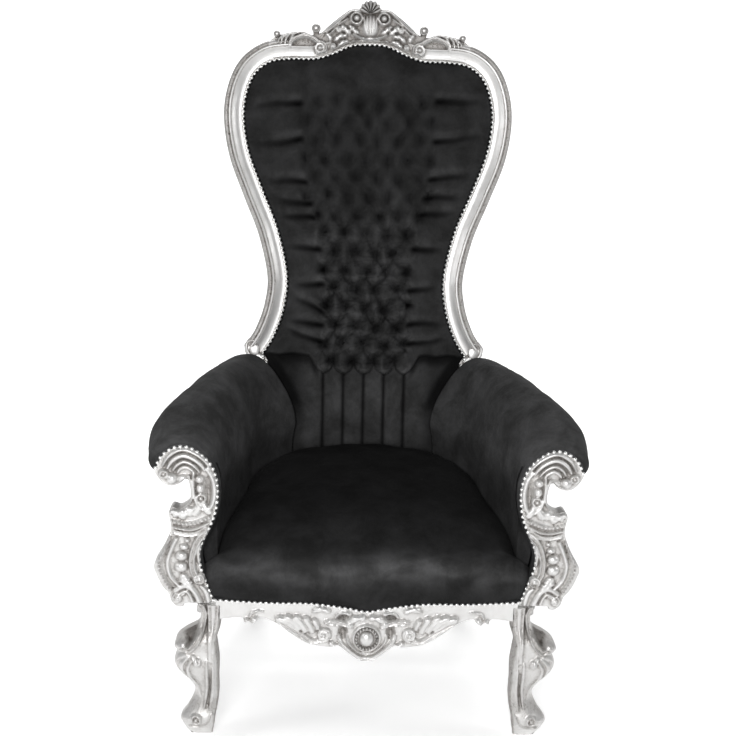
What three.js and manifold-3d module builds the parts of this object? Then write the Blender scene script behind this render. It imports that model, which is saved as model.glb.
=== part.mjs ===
// A throne: carved silver-leafed frame, deep buttoned velvet back, domed seat and rolled arms.
// Millimetres, +Z up, the front faces -Y. The origin is on the floor under the middle of the throne.
import * as THREE from 'three';
import { mergeVertices } from 'three/addons/utils/BufferGeometryUtils.js';
import Module from 'manifold-3d';

const wasm = await Module();
wasm.setup();

// Overall layout
const GAP = 0.4;
const RECLINE = THREE.MathUtils.degToRad(8.5);
const BACK_Y = 235;
const BACK_Z = 777;
const RAIL_TOP = 358;
const RAIL_BOTTOM = 290;
const SPLIT_Z = 338;
const ARM_FRONT_Y = -335;
const FACING_Y = -375;
const APRON_Y = -388;
const BOARD_BACK_Y = ARM_FRONT_Y - GAP;

// Back frame: the edge of the velvet as half-width and height in the plane of the back
const BACK_OPENING = [
  [0, 816], [45, 813], [93, 792], [142, 777], [209, 775], [262, 765], [303, 725], [323, 645],
  [311, 545], [272, 440], [230, 334], [204, 215], [212, 126], [238, 50], [266, 4],
];
const CREST_JOINT = 4.75;
const FRAME_DEPTH = 40;
const STILE_PROFILE = [
  [0, -FRAME_DEPTH], [0, 0], [10, 0], [16, 8], [32, 14], [37, 8], [46, 14], [56, 2], [56, -FRAME_DEPTH],
];
const CREST_PROFILE = [[0, -FRAME_DEPTH], [0, 0], [10, 0], [17, 9], [34, 9], [34, -FRAME_DEPTH]];

// Crest silhouette above the moulding, from the stile joint to the middle
const CREST_TOP = [
  [240, 838], [205, 847], [175, 846], [152, 840], [128, 848], [110, 864], [93, 879], [70, 897],
  [49, 910], [26, 910],
];
const CREST_FACE = 4;
const CREST_SCROLLS = [
  {
    tail: [[212, 802], [204, 822], [176, 833]],
    eye: [137, 814], radius: 19, start: 70, turns: 0.8, width: 6,
  },
  {
    tail: [[50, 905], [84, 881], [115, 853]],
    eye: [141, 856], radius: 11, start: 230, turns: 0.8, width: 5,
  },
  {
    tail: [[152, 834], [178, 840], [208, 841]],
    eye: [245, 840], radius: 11, start: 130, turns: -0.8, width: 5,
  },
  { tail: [[14, 900]], eye: [37, 888], radius: 16, start: 140, turns: -0.8, width: 5 },
];
const CREST_LEAVES = [
  { spine: [[218, 806], [224, 822], [222, 842]], width: 15, height: 12, lobes: 2 },
  { spine: [[112, 808], [100, 844], [74, 866]], width: 11, height: 11, lobes: 1 },
];
const CREST_STUD = { at: [96, 823], width: 9, length: 9, height: 10 };
const CREST_BOSS = { at: [0, 866], width: 20, length: 30, height: 18 };
const SHELL = { at: [0, 897], radius: 36, ribs: 5, spread: 130, height: 13 };

// Front apron
const APRON_TOP = [[0, 332], [48, 340], [127, 350], [227, 351], [341, 357]];
const APRON_END = 341.4;
const APRON_LEG_END = 331.4;
const APRON_LOW = [
  [0, 206], [16, 208], [41, 226], [64, 244], [80, 240], [119, 245], [142, 253], [172, 273], [205, 298],
  [238, 311], [248, 302], [258, 295], [267, 302], [276, 298], [284, 311], [APRON_LEG_END, 306],
  [APRON_LEG_END, SPLIT_Z + GAP], [APRON_END, SPLIT_Z + GAP],
];
const APRON_SCROLLS = [
  {
    tail: [[232, 309], [182, 285], [130, 258]],
    eye: [88, 264], radius: 15, start: 270, turns: -0.8, width: 6,
  },
  { tail: [[6, 213], [34, 230], [54, 256]], eye: [52, 284], radius: 12, start: 340, turns: 0.8, width: 6 },
];
const APRON_LEAVES = [
  { spine: [[104, 268], [142, 282], [205, 316]], width: 17, height: 13, lobes: 4 },
  { spine: [[64, 300], [96, 318], [140, 328]], width: 11, height: 10, lobes: 2 },
  { spine: [[36, 297], [18, 308], [-4, 311]], width: 8, height: 10, lobes: 2 },
];
const CABOCHON = { at: [0, 264], width: 18, length: 20, height: 18 };
const CABOCHON_RIM = { at: [0, 264], radius: 29, width: 5 };

// Arm supports: the velvet edge and the outer edge as half-width and height
const FACING_INNER = [
  [342, 347], [356, 388], [366, 413], [373, 445], [372, 466], [362, 494], [347, 525], [337, 555], [332, 590],
  [333, 625], [341, 655], [355, 677], [378, 697], [400, 708], [424, 709], [446, 699], [464, 682], [475, 658],
];
const FACING_OUTER = [
  [470, 640], [454, 620], [436, 615], [418, 621], [404, 633], [397, 617], [395, 592], [402, 573], [420, 562],
  [436, 565], [444, 552], [440, 530], [440, 512], [448, 488], [461, 461], [478, 430], [473, 407], [461, 380],
  [446, 361], [440, 343], [428, 331], [414, 331], [406, SPLIT_Z + GAP],
];
const FACING_RIM_INSET = 17;
const FACING_TOP_VOLUTE = { eye: [444, 648], radius: 22, start: 60, turns: -0.8, width: 6 };
const FACING_LOW_VOLUTE = { eye: [371, 364], radius: 9, start: 60, turns: -0.7, width: 5 };
const FACING_OUTER_RIM = [
  [409, 624], [403, 594], [412, 574], [431, 550], [440, 502], [456, 464], [470, 430], [453, 382],
];
const FACING_OUTER_VOLUTE = { eye: [426, 350], radius: 14, start: 40, turns: -0.8, width: 6 };
const FACING_CUFFS = [[[352, 562], [378, 574], [404, 578]], [[360, 542], [388, 556], [424, 560]]];
const FACING_BEADS = [
  [374, 646], [368, 610], [408, 518], [417, 482], [425, 446], [420, 408],
];
const BEAD = { width: 7, length: 10, height: 9 };

// Front legs: how far the front and outer faces stand out from the inner corner at each height
const LEG_CORNER = { x: 332, y: -318 };
const LEG_STATIONS = [
  { z: 0, x: 70, y: 28, inner: 4 }, { z: 14, x: 79, y: 43, inner: 6 }, { z: 36, x: 88, y: 61, inner: 9 },
  { z: 55, x: 91, y: 72, inner: 9 }, { z: 80, x: 73, y: 65, inner: 6 }, { z: 110, x: 60, y: 56, inner: 4 },
  { z: 132, x: 62, y: 60, inner: 4 }, { z: 153, x: 74, y: 70, inner: 4 }, { z: 176, x: 95, y: 79, inner: 3 },
  { z: 200, x: 104, y: 83, inner: 3 }, { z: 228, x: 94, y: 79, inner: 6 }, { z: 250, x: 100, y: 80, inner: 8 },
  { z: 265, x: 89, y: 74, inner: 4 }, { z: 278, x: 67, y: 66, inner: 0 }, { z: 292, x: 56, y: 60, inner: 0 },
  { z: 310, x: 51, y: 57, inner: 0 }, { z: 325, x: 55, y: 57, inner: 0 },
  { z: SPLIT_Z - GAP, x: 70, y: 57, inner: 0 },
];
const LEG_SCROLLS = [
  {
    tail: [[390, 332], [376, 306], [388, 274]],
    eye: [415, 250], radius: 14, start: 80, turns: -0.8, width: 5,
  },
  { tail: [[398, 224]], eye: [384, 214], radius: 11, start: 60, turns: 0.7, width: 4 },
];
const LEG_LEAF = { spine: [[416, 226], [418, 196], [394, 150]], width: 14, height: 9, lobes: 3 };
const LEG_TONGUE = { spine: [[346, 206], [347, 150], [350, 84]], width: 8, height: 7, lobes: 1 };
const LEG_BOSS = { at: [385, 58], width: 11, length: 11, height: 7 };

// Upholstery
const PAD_FRONT = 19.5;
const PAD_BOTTOM = -436;
const PAD_LOW_HALF = 255.4;
const PAD_EDGE = 18;
const ARM_BOTTOM = RAIL_TOP + GAP;
const ARM_FRONT = [
  [340, ARM_BOTTOM], [340, 545], [334, 600], [338, 650], [352, 682], [378, 708], [419, 722], [456, 716],
  [481, 697], [492, 670], [486, 646], [464, 630], [425, 622], [398, 600], [392, 450], [392, ARM_BOTTOM],
];
const ARM_SWELL = [
  [335, ARM_BOTTOM], [335, 545], [329, 602], [332, 655], [347, 697], [376, 731], [420, 747], [460, 742],
  [488, 720], [500, 688], [495, 656], [470, 634], [426, 622], [394, 600], [387, 450], [387, ARM_BOTTOM],
];
const ARM_MIDDLE = [
  [297, ARM_BOTTOM], [297, 545], [291, 602], [294, 662], [306, 716], [334, 762], [372, 784], [410, 777],
  [438, 753], [450, 721], [444, 690], [420, 662], [385, 642], [366, 600], [362, 450], [362, ARM_BOTTOM],
];
const ARM_HIND = [
  [262, ARM_BOTTOM], [262, 545], [256, 604], [262, 664], [276, 722], [302, 768], [336, 788], [368, 783],
  [394, 764], [408, 734], [404, 700], [386, 668], [360, 642], [346, 600], [342, 450], [342, ARM_BOTTOM],
];
const ARM_REAR = [
  [186, ARM_BOTTOM], [186, 545], [178, 610], [190, 660], [213, 705], [246, 752], [282, 780], [318, 786],
  [350, 777], [372, 756], [379, 728], [370, 690], [352, 655], [334, 600], [326, 450], [326, ARM_BOTTOM],
];
const ARM_SECTIONS = [ARM_FRONT, ARM_SWELL, ARM_MIDDLE, ARM_HIND, ARM_REAR];
const ARM_SECTION_AT = [0, 0.14, 0.5, 0.8, 1];
const ARM_STATIONS = [0, 0.14, 0.28, 0.45, 0.62, 0.75, 0.85, 0.93, 1];
const ARM_REAR_T = PAD_FRONT + 0.8;
const SEAT_SIDE = [[0, 462], [0.12, 476], [0.35, 496], [0.8, 528], [1, 538]];
const SEAT_CROWN = [[0, 472], [0.12, 497], [0.28, 522], [0.5, 546], [0.75, 562], [1, 564]];
const SEAT_EDGE_DROP = 14;
const SEAT_FRONT_STEPS = [
  [-390, 0.5, 0.955], [-389, 0.66, 0.965], [-382, 0.84, 0.98], [-368, 0.95, 0.995], [BOARD_BACK_Y, 1, 1],
];

// Rear legs
const POST = { inner: 256, outer: 310, back: 45, low: -330, top: -13, lapTop: 45 };
const STILE_FOOT = [
  [280, 8], [269, 1], [262, -9], [278, -14], [302, -10], [316, 8], [319, 28], [310, 42], [287, 30],
];
const POST_LAP = [[273, 45], [273, 6], [266.3, 3.2], [256, -12.4], [256, -18]];
const REAR_LEG = [
  { z: 365, front: 190, back: 240 }, { z: 285, front: 190, back: 240 }, { z: 190, front: 214, back: 262 },
  { z: 90, front: 275, back: 319 }, { z: 0, front: 366, back: 408 },
];
const SIDE_RAIL = { front: [347, 390], rear: [264, 304], rearY: 189.4 };
const BACK_RAIL = { half: 255.4, front: 192, back: 236, top: 338 };

// Nail strips
const NAIL_LIP = 0.7;
const NAIL_WIDTH = 8.6;
const NAIL_HEIGHT = 4;

const SILVER = { color: 0xb8b6af, roughness: 0.42, metalness: 0.7 };
const VELVET = { color: 0x16161a, roughness: 0.92, metalness: 0 };
const NAILS = { color: 0xcfcfd2, roughness: 0.3, metalness: 0.9 };

const vec2 = ([x, y]) => new THREE.Vector2(x, y);
const mix = (a, b, f) => a + (b - a) * f;
const mirrored = (points) => points.map(([x, y]) => [-x, y]);

// Value at f on a polyline of [position, value] pairs
function valueAt(pairs, f) {
  let i = 1;
  while (i < pairs.length - 1 && f > pairs[i][0]) {
    i += 1;
  }
  const [a, b] = [pairs[i - 1], pairs[i]];
  return mix(a[1], b[1], (f - a[0]) / (b[0] - a[0]));
}

// Signed volume, used to turn every closed surface outward
function signedVolume(position, index) {
  const [a, b, c] = [new THREE.Vector3(), new THREE.Vector3(), new THREE.Vector3()];
  let volume = 0;
  for (let i = 0; i < index.length; i += 3) {
    a.fromBufferAttribute(position, index[i]);
    b.fromBufferAttribute(position, index[i + 1]);
    c.fromBufferAttribute(position, index[i + 2]);
    volume += a.dot(b.cross(c));
  }
  return volume;
}

function closedGeometry(positions, index) {
  const geometry = new THREE.BufferGeometry();
  geometry.setAttribute('position', new THREE.Float32BufferAttribute(positions, 3));
  const outward = signedVolume(geometry.getAttribute('position'), index) > 0;
  geometry.setIndex(outward ? index : [...index].reverse());
  return geometry;
}

// Closed skin through equal-count outlines; place(point, i) puts outline i in space
function loft(outlines, place) {
  const count = outlines[0].length;
  const positions = [];
  const index = [];
  outlines.forEach((outline, i) => outline.forEach((p) => positions.push(...place(p, i))));
  for (let i = 0; i < outlines.length - 1; i += 1) {
    for (let j = 0; j < count; j += 1) {
      const k = (j + 1) % count;
      const [a, b, c, d] = [i * count + j, i * count + k, (i + 1) * count + k, (i + 1) * count + j];
      index.push(a, b, c, a, c, d);
    }
  }
  const last = (outlines.length - 1) * count;
  const caps = (outline) => THREE.ShapeUtils.triangulateShape(outline.map(vec2), []);
  const turn = THREE.ShapeUtils.isClockWise(outlines[0].map(vec2)) ? 1 : -1;
  for (const [a, b, c] of caps(outlines[0])) {
    index.push(...(turn > 0 ? [a, b, c] : [a, c, b]));
  }
  for (const [a, b, c] of caps(outlines.at(-1))) {
    index.push(...(turn > 0 ? [last + a, last + c, last + b] : [last + a, last + b, last + c]));
  }
  return closedGeometry(positions, index);
}

// Board between two depths, with an outline in its own plane
function board(outline, back, front) {
  return loft([outline, outline], ([u, w], i) => [u, w, i === 0 ? back : front]);
}

// Smooth points through a few controls, with their in-plane directions
function splinePoints(controls, steps) {
  const curve = new THREE.SplineCurve(controls.map(vec2));
  return Array.from({ length: steps + 1 }, (_, i) => ({
    at: curve.getPoint(i / steps),
    along: curve.getTangent(i / steps),
  }));
}

// Raised ridge along spline points, flat on top, with its foot let into the board
function ridge(points, widthAt, heightAt, base) {
  const foot = base - 3;
  const outlines = points.map((_, i) => {
    const f = i / (points.length - 1);
    const [r, h] = [widthAt(f), heightAt(f)];
    return [[-r, foot], [r, foot], [0.45 * r, base + h], [-0.45 * r, base + h]];
  });
  return loft(outlines, ([side, t], i) => {
    const { at, along } = points[i];
    return [at.x - along.y * side, at.y + along.x * side, t];
  });
}

// C-scroll: a ridge that runs in along a tail and winds into a volute, with a ball at its eye
function scroll({ tail, eye, radius, start, turns, width }, base) {
  const controls = [...tail];
  const steps = Math.max(3, Math.round(Math.abs(turns) * 4));
  for (let i = 0; i <= steps; i += 1) {
    const angle = THREE.MathUtils.degToRad(start + (360 * turns * i) / steps);
    const r = mix(radius - width, 0.55 * radius, i / steps);
    controls.push([eye[0] + r * Math.cos(angle), eye[1] + r * Math.sin(angle)]);
  }
  const points = splinePoints(controls, controls.length - 1);
  const ball = 0.42 * radius;
  return [
    ridge(points, (f) => mix(width, 0.4 * radius, f), (f) => mix(0.9, 1.3, f) * width, base),
    dome({ at: eye, width: ball, length: ball, height: 1.6 * width }, base, 5),
  ];
}

// Acanthus leaf: a crowned blade along a bent spine, its edge cut into lobes
function leaf({ spine, width, height, lobes }, base) {
  const steps = 2 * lobes + 1;
  const points = splinePoints(spine, steps);
  const outlines = points.map((_, i) => {
    const f = i / steps;
    const body = 0.25 + 0.75 * Math.sin(Math.PI * Math.min(1, 0.18 + 0.8 * f));
    const r = width * body * (i % 2 === 0 ? 0.72 : 1.05);
    const h = height * (0.6 + 0.4 * f);
    const [foot, rib, vein] = [base - 3, base + 0.8 * h, base + 0.55 * h];
    return [[-r, foot], [r, foot], [0.6 * r, rib], [0, vein], [-0.6 * r, rib]];
  });
  return loft(outlines, ([side, t], i) => {
    const { at, along } = points[i];
    return [at.x - along.y * side, at.y + along.x * side, t];
  });
}

function circle([u, w], radius, sides) {
  return Array.from({ length: sides }, (_, i) => {
    const a = (2 * Math.PI * i) / sides;
    return [u + radius * Math.cos(a), w + radius * Math.sin(a)];
  });
}

// Raised oval dome with its foot let into the board; a small one is a plain stud
const DOME_RINGS = [[1, -3], [0.88, 0.6], [0.4, 1]];
const STUD_RINGS = [[1, -3], [0.5, 1]];

function dome({ at, width, length, height }, base, sides = 8) {
  const shape = sides > 6 ? DOME_RINGS : STUD_RINGS;
  const rings = shape.map(([k, rise]) => [k, rise < 0 ? rise : rise * height]);
  const outlines = rings.map(([k]) => circle([0, 0], k, sides));
  return loft(outlines, ([u, w], i) => [at[0] + width * u, at[1] + length * w, base + rings[i][1]]);
}

// Raised ring round an oval
function ringRidge({ at, radius, width }, base, sides = 10) {
  const outlines = [circle(at, radius, sides), circle(at, 0.94 * radius, sides)];
  return loft(outlines, ([u, w], i) => [u, w, base + [-3, 1.6 * width][i]]);
}

// Shell: ribs spread like a fan
function shell({ at, radius, ribs, spread, height }, base) {
  const solids = [];
  for (let i = 0; i < ribs; i += 1) {
    const a = THREE.MathUtils.degToRad(90 + spread * (i / (ribs - 1) - 0.5));
    const along = new THREE.Vector2(Math.cos(a), Math.sin(a));
    const reach = radius * (1 - 0.12 * Math.abs(2 * i / (ribs - 1) - 1));
    const points = [0.05, 0.7, 1].map((f) => (
      { at: new THREE.Vector2(...at).addScaledVector(along, reach * f), along }));
    const widths = [2.5, 0.3 * radius, 0.12 * radius];
    const heights = [0.5 * height, height, 0.45 * height];
    solids.push(ridge(points, (f) => widths[Math.round(2 * f)], (f) => heights[Math.round(2 * f)], base));
  }
  return solids;
}

// Joins closed geometries into one
function solidOf(geometry) {
  const bare = new THREE.BufferGeometry();
  bare.setAttribute('position', geometry.getAttribute('position').clone());
  bare.setIndex(geometry.getIndex());
  const merged = mergeVertices(bare, 1e-3);
  return new wasm.Manifold(new wasm.Mesh({
    numProp: 3,
    vertProperties: new Float32Array(merged.getAttribute('position').array),
    triVerts: new Uint32Array(merged.getIndex().array),
  }));
}

function geometryOf(solid) {
  const mesh = solid.getMesh();
  const geometry = new THREE.BufferGeometry();
  geometry.setAttribute('position', new THREE.Float32BufferAttribute(mesh.vertProperties, 3));
  geometry.setIndex([...mesh.triVerts]);
  return geometry;
}

function joined(geometries) {
  const solids = geometries.map(solidOf);
  return geometryOf(solids.reduce((sum, solid) => sum.add(solid)));
}

function placed(geometry, place) {
  const position = geometry.getAttribute('position');
  const moved = [];
  for (let i = 0; i < position.count; i += 1) {
    moved.push(...place(position.getX(i), position.getY(i), position.getZ(i)));
  }
  return closedGeometry(moved, [...geometry.getIndex().array]);
}

const acrossMiddle = (geometry) => placed(geometry, (x, y, z) => [-x, y, z]);
const bothSides = (geometries) => geometries.flatMap((geometry) => [geometry, acrossMiddle(geometry)]);

// Plane of the back: half-width u, height w up the slope, depth t toward the front
const onBack = (u, w, t) => [
  u,
  BACK_Y + w * Math.sin(RECLINE) - t * Math.cos(RECLINE),
  BACK_Z + w * Math.cos(RECLINE) + t * Math.sin(RECLINE),
];
const onFront = (faceY) => (u, w, t) => [u, faceY - t, w];

// Depth in Y of the plane t in front of the back at height z
function backPlaneY(t, z) {
  const w = (z - BACK_Z - t * Math.sin(RECLINE)) / Math.cos(RECLINE);
  return BACK_Y + w * Math.sin(RECLINE) - t * Math.cos(RECLINE);
}

const openingControls = [...mirrored(BACK_OPENING.slice(1)).reverse(), ...BACK_OPENING];
const openingCurve = new THREE.SplineCurve(openingControls.map(vec2));
const openingMiddle = BACK_OPENING.length - 1;

// Point on the velvet edge of the back, counted in controls from the middle, moved out across the frame
function openingPoint(position, out = 0) {
  const f = (openingMiddle + position) / (2 * openingMiddle);
  const at = openingCurve.getPoint(f);
  const along = openingCurve.getTangent(f);
  return { at: new THREE.Vector2(at.x - along.y * out, at.y + along.x * out), along };
}

function positions(from, to, steps) {
  return Array.from({ length: steps + 1 }, (_, i) => mix(from, to, i / steps));
}

const crestPositions = positions(-CREST_JOINT, CREST_JOINT, 10);
const stilePositions = positions(CREST_JOINT, openingMiddle, 14);
const edgePositions = [
  ...stilePositions.slice(1).map((position) => -position).reverse(),
  ...crestPositions,
  ...stilePositions.slice(1),
];

// Moulding swept along the velvet edge of the back; shifts slide the two end faces along the path
function backMoulding(profile, places, shiftFrom, shiftTo) {
  const points = places.map((position) => openingPoint(position));
  points[0].at.addScaledVector(points[0].along, shiftFrom);
  points.at(-1).at.addScaledVector(points.at(-1).along, shiftTo);
  return loft(points.map(() => profile), ([v, t], i) => {
    const { at, along } = points[i];
    return [at.x - along.y * v, at.y + along.x * v, t];
  });
}

function crestRail() {
  const lower = crestPositions.slice(1, -1).map((position) => openingPoint(position, 20).at.toArray());
  const end = [20, 54].map((out) => openingPoint(CREST_JOINT, out)).map(({ at, along }) =>
    at.addScaledVector(along, -GAP).toArray());
  const right = [...end, ...CREST_TOP];
  const outline = [...lower, ...right, ...mirrored(right).reverse()];
  const carving = [
    ...CREST_SCROLLS.flatMap((item) => scroll(item, CREST_FACE)),
    ...CREST_LEAVES.map((item) => leaf(item, CREST_FACE)),
    dome(CREST_STUD, CREST_FACE, 5),
  ];
  const curls = CREST_SCROLLS.slice(1, 3).map(({ eye, radius }) =>
    board(circle(eye, radius, 6), -FRAME_DEPTH, CREST_FACE));
  const local = joined([
    backMoulding(CREST_PROFILE, crestPositions, GAP / 2, -GAP / 2),
    board(outline, -FRAME_DEPTH, CREST_FACE),
    ...bothSides([...carving, ...curls]),
    dome(CREST_BOSS, CREST_FACE, 8),
    ...shell(SHELL, CREST_FACE),
    board(circle(SHELL.at, 0.72 * SHELL.radius, 8), -FRAME_DEPTH, CREST_FACE),
  ]);
  return placed(local, onBack);
}

function backPost() {
  const stile = backMoulding(STILE_PROFILE, stilePositions, GAP / 2, 6);
  const { inner, outer, back, low, top, lapTop } = POST;
  const lap = board([...POST_LAP, [outer, -18], [outer, lapTop]], -back, -2);
  const toe = board(STILE_FOOT, -FRAME_DEPTH, 10);
  const upper = board([[inner, low], [outer, low], [outer, top], [inner, top]], -back, PAD_FRONT);
  const foot = [[inner, low], [outer, low]];
  const rings = [
    [...foot.map((p) => onBack(...p, PAD_FRONT)), ...foot.reverse().map((p) => onBack(...p, -back))],
    ...REAR_LEG.map(({ z, front, back: rear }) => [
      [inner, front, z], [outer, front, z], [outer, rear, z], [inner, rear, z],
    ]),
  ];
  const square = [[0, 0], [1, 0], [1, 1], [0, 1]];
  const corner = ([a, b]) => (b === 0 ? a : 3 - a);
  const leg = loft(rings.map(() => square), (p, i) => rings[i][corner(p)]);
  const frame = joined([stile, lap, toe, upper]);
  return joined([placed(frame, onBack), leg]);
}

function backUpholstery() {
  const edgeAt = (out) => edgePositions.map((position) => openingPoint(position, out).at.toArray());
  const low = [[PAD_LOW_HALF, -12], [PAD_LOW_HALF, PAD_BOTTOM]];
  const outline = [...edgeAt(-GAP), ...low, ...mirrored(low).reverse()];
  const inset = [[PAD_LOW_HALF - 1, -14], [PAD_LOW_HALF - 1, PAD_BOTTOM]];
  const face = [...edgeAt(-PAD_EDGE), ...inset, ...mirrored(inset).reverse()];
  const outlines = [outline, outline, face];
  const depths = [-FRAME_DEPTH, 0, PAD_FRONT];
  return placed(loft(outlines, ([u, w], i) => [u, w, depths[i]]), onBack);
}

// Cross-section of the arm at s from front to back; it swells behind the facing and bends in round the seat
const armCurve = new THREE.CubicInterpolant(ARM_SECTION_AT, ARM_SECTIONS.flat(2), 2 * ARM_FRONT.length);

function armSection(s) {
  const values = Array.from(armCurve.evaluate(s));
  return ARM_FRONT.map((_, i) => [values[2 * i], values[2 * i + 1]]);
}

const alongArm = (x, z, s) => [x, mix(ARM_FRONT_Y, backPlaneY(ARM_REAR_T, z), s), z];

function armUpholstery() {
  return loft(ARM_STATIONS.map(armSection), ([x, z], i) => alongArm(x, z, ARM_STATIONS[i]));
}

function apronTopPoints(steps, lift) {
  const controls = [...mirrored(APRON_TOP.slice(1)).reverse(), ...APRON_TOP];
  return splinePoints(controls, steps).map(({ at }) => [at.x, at.y + lift]);
}

function seatUpholstery() {
  const across = [1, 0.8, 0.45, 0, -0.45, -0.8, -1];
  const sections = ARM_STATIONS.map((s) => {
    const half = armSection(s)[0][0] - GAP;
    const [side, crown] = [valueAt(SEAT_SIDE, s), valueAt(SEAT_CROWN, s)];
    const edgeDrop = (a) => (Math.abs(a) === 1 ? SEAT_EDGE_DROP : 0);
    const top = across.map((a) => [a * half, side + (crown - side) * (1 - a * a) - edgeDrop(a)]);
    return [[-half, ARM_BOTTOM], [half, ARM_BOTTOM], ...top];
  });
  const main = loft(sections, ([x, z], i) => {
    const p = alongArm(x, z, ARM_STATIONS[i]);
    return i === 0 ? [x, ARM_FRONT_Y - 20, z] : p;
  });
  const bottom = apronTopPoints(12, GAP).map(([x, z]) => [x * 0.998, z]);
  const side = FACING_INNER.slice(0, 5).map(([x, z]) => [x - 1, z]);
  const [crown, level] = [SEAT_CROWN[0][1], SEAT_SIDE[0][1]];
  const topEdge = [[300, level + 5], [170, crown - 2], [0, crown]];
  const right = [...side.slice(1), ...topEdge];
  const outline = [...bottom, ...right, ...mirrored(right.slice(0, -1)).reverse()];
  const outlines = SEAT_FRONT_STEPS.map(([, rise, spread]) => outline.map(([x, z], i) => (
    i < bottom.length ? [x, z] : [x * spread, mix(RAIL_TOP, z, rise)])));
  const front = loft(outlines, ([x, z], i) => [x, SEAT_FRONT_STEPS[i][0], z]);
  return joined([front, main]);
}

// Offsets a polyline sideways, keeping its point count
function offsetPoints(points, distance) {
  return splinePoints(points, points.length - 1).map(({ at, along }) => [
    at.x - along.y * distance, at.y + along.x * distance,
  ]);
}

function armSupport() {
  const outline = [...FACING_INNER, ...FACING_OUTER, [342, SPLIT_Z + GAP]];
  const innerRim = offsetPoints(FACING_INNER.slice(3, 16), -FACING_RIM_INSET);
  const rims = [
    ...scroll({ ...FACING_TOP_VOLUTE, tail: innerRim }, 0),
    ...scroll({ ...FACING_LOW_VOLUTE, tail: innerRim.slice(0, 2).reverse() }, 0),
    ...scroll({ ...FACING_OUTER_VOLUTE, tail: FACING_OUTER_RIM }, 0),
  ];
  const cuffs = FACING_CUFFS.map((line) => ridge(splinePoints(line, 2), () => 6, () => 10, 0));
  const beads = FACING_BEADS.map((at) => dome({ at, ...BEAD }, 0, 5));
  const local = joined([board(outline, FACING_Y - BOARD_BACK_Y, 0), ...rims, ...cuffs, ...beads]);
  return placed(local, onFront(FACING_Y));
}

// How far the leg's front face stands out at height z
function legFrontAt(z) {
  return valueAt(LEG_STATIONS.map((station) => [station.z, station.y]), z);
}

function frontLeg() {
  const { x: cornerX, y: cornerY } = LEG_CORNER;
  const sections = LEG_STATIONS.map(({ x, y, inner }) => {
    const c = 0.16 * Math.min(x, y);
    const rear = [[inner, inner], [x - c, inner], [x, inner + c]];
    return [...rear, [x, y - 2 * c], [x - 2 * c, y], [inner + c, y], [inner, y - c]];
  });
  const body = loft(sections, ([out, ahead], i) => [cornerX + out, cornerY - ahead, LEG_STATIONS[i].z]);
  const onLegFront = (u, w, t) => [u, cornerY - legFrontAt(w) - t, w];
  const carving = [
    ...LEG_SCROLLS.flatMap((item) => scroll(item, -2)),
    leaf(LEG_LEAF, -2),
    leaf(LEG_TONGUE, -2),
    dome(LEG_BOSS, -2, 6),
  ];
  const [low, end] = [SPLIT_Z - 8, 392];
  const stub = placed(board([[cornerX, low], [end, low], [end, RAIL_TOP], [cornerX, RAIL_TOP]], 0, 16),
    (u, w, t) => [u, cornerY - t, w]);
  return joined([body, stub, ...carving.map((piece) => placed(piece, onLegFront))]);
}

function frontRail() {
  const top = apronTopPoints(12, 0).map(([x, z]) => [x * APRON_END / APRON_TOP.at(-1)[0], z]);
  const low = [...[...APRON_LOW].reverse(), ...mirrored(APRON_LOW.slice(1))];
  const carving = [
    ...APRON_SCROLLS.flatMap((item) => scroll(item, 0)),
    ...APRON_LEAVES.slice(0, 2).map((item) => leaf(item, 0)),
  ];
  const local = joined([
    board([...top, ...low], APRON_Y - BOARD_BACK_Y + 4, 0),
    ...bothSides([...carving, leaf(APRON_LEAVES[2], 0)]),
    ringRidge(CABOCHON_RIM, 0),
    dome(CABOCHON, 0, 8),
  ]);
  return placed(local, onFront(APRON_Y));
}

function sideRail() {
  const { front, rear, rearY } = SIDE_RAIL;
  const ends = [[front, LEG_CORNER.y + GAP], [rear, rearY]];
  const outlines = ends.map(([[inner, outer]]) => [
    [inner, RAIL_BOTTOM], [outer, RAIL_BOTTOM], [outer, RAIL_TOP], [inner, RAIL_TOP],
  ]);
  return loft(outlines, ([x, z], i) => [x, ends[i][1], z]);
}

function backRail() {
  const { half, front, back, top } = BACK_RAIL;
  const section = [[front, RAIL_BOTTOM], [back, RAIL_BOTTOM], [back, top], [front, top]];
  return loft([section, section], ([y, z], i) => [i === 0 ? -half : half, y, z]);
}

// Strip of nail heads laid along points, on a face at t = 0
function nailStrip(points) {
  const [inner, outer, middle] = [NAIL_LIP, NAIL_LIP + NAIL_WIDTH, NAIL_LIP + NAIL_WIDTH / 2];
  const outline = [[inner, GAP], [outer, GAP], [middle, GAP + NAIL_HEIGHT]];
  return loft(points.map(() => outline), ([v, t], i) => {
    const { at, along } = points[i];
    return [at.x - along.y * v, at.y + along.x * v, t];
  });
}

function backNailTrim() {
  return placed(nailStrip(edgePositions.map((position) => openingPoint(position))), onBack);
}

function armNailTrim() {
  const points = splinePoints([...FACING_INNER].reverse(), FACING_INNER.length - 1);
  return placed(nailStrip(points), onFront(FACING_Y));
}

function seatNailTrim() {
  const points = splinePoints([...APRON_TOP].reverse().concat(mirrored(APRON_TOP.slice(1))), 16);
  return placed(nailStrip(points), onFront(APRON_Y));
}

function node(name, geometry, look) {
  const faceted = geometry.toNonIndexed();
  faceted.computeVertexNormals();
  const mesh = new THREE.Mesh(faceted, new THREE.MeshStandardMaterial({ ...look, flatShading: true }));
  mesh.name = name;
  return mesh;
}

function pair(name, geometry, look) {
  return [node(`left_${name}`, acrossMiddle(geometry), look), node(`right_${name}`, geometry, look)];
}

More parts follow.
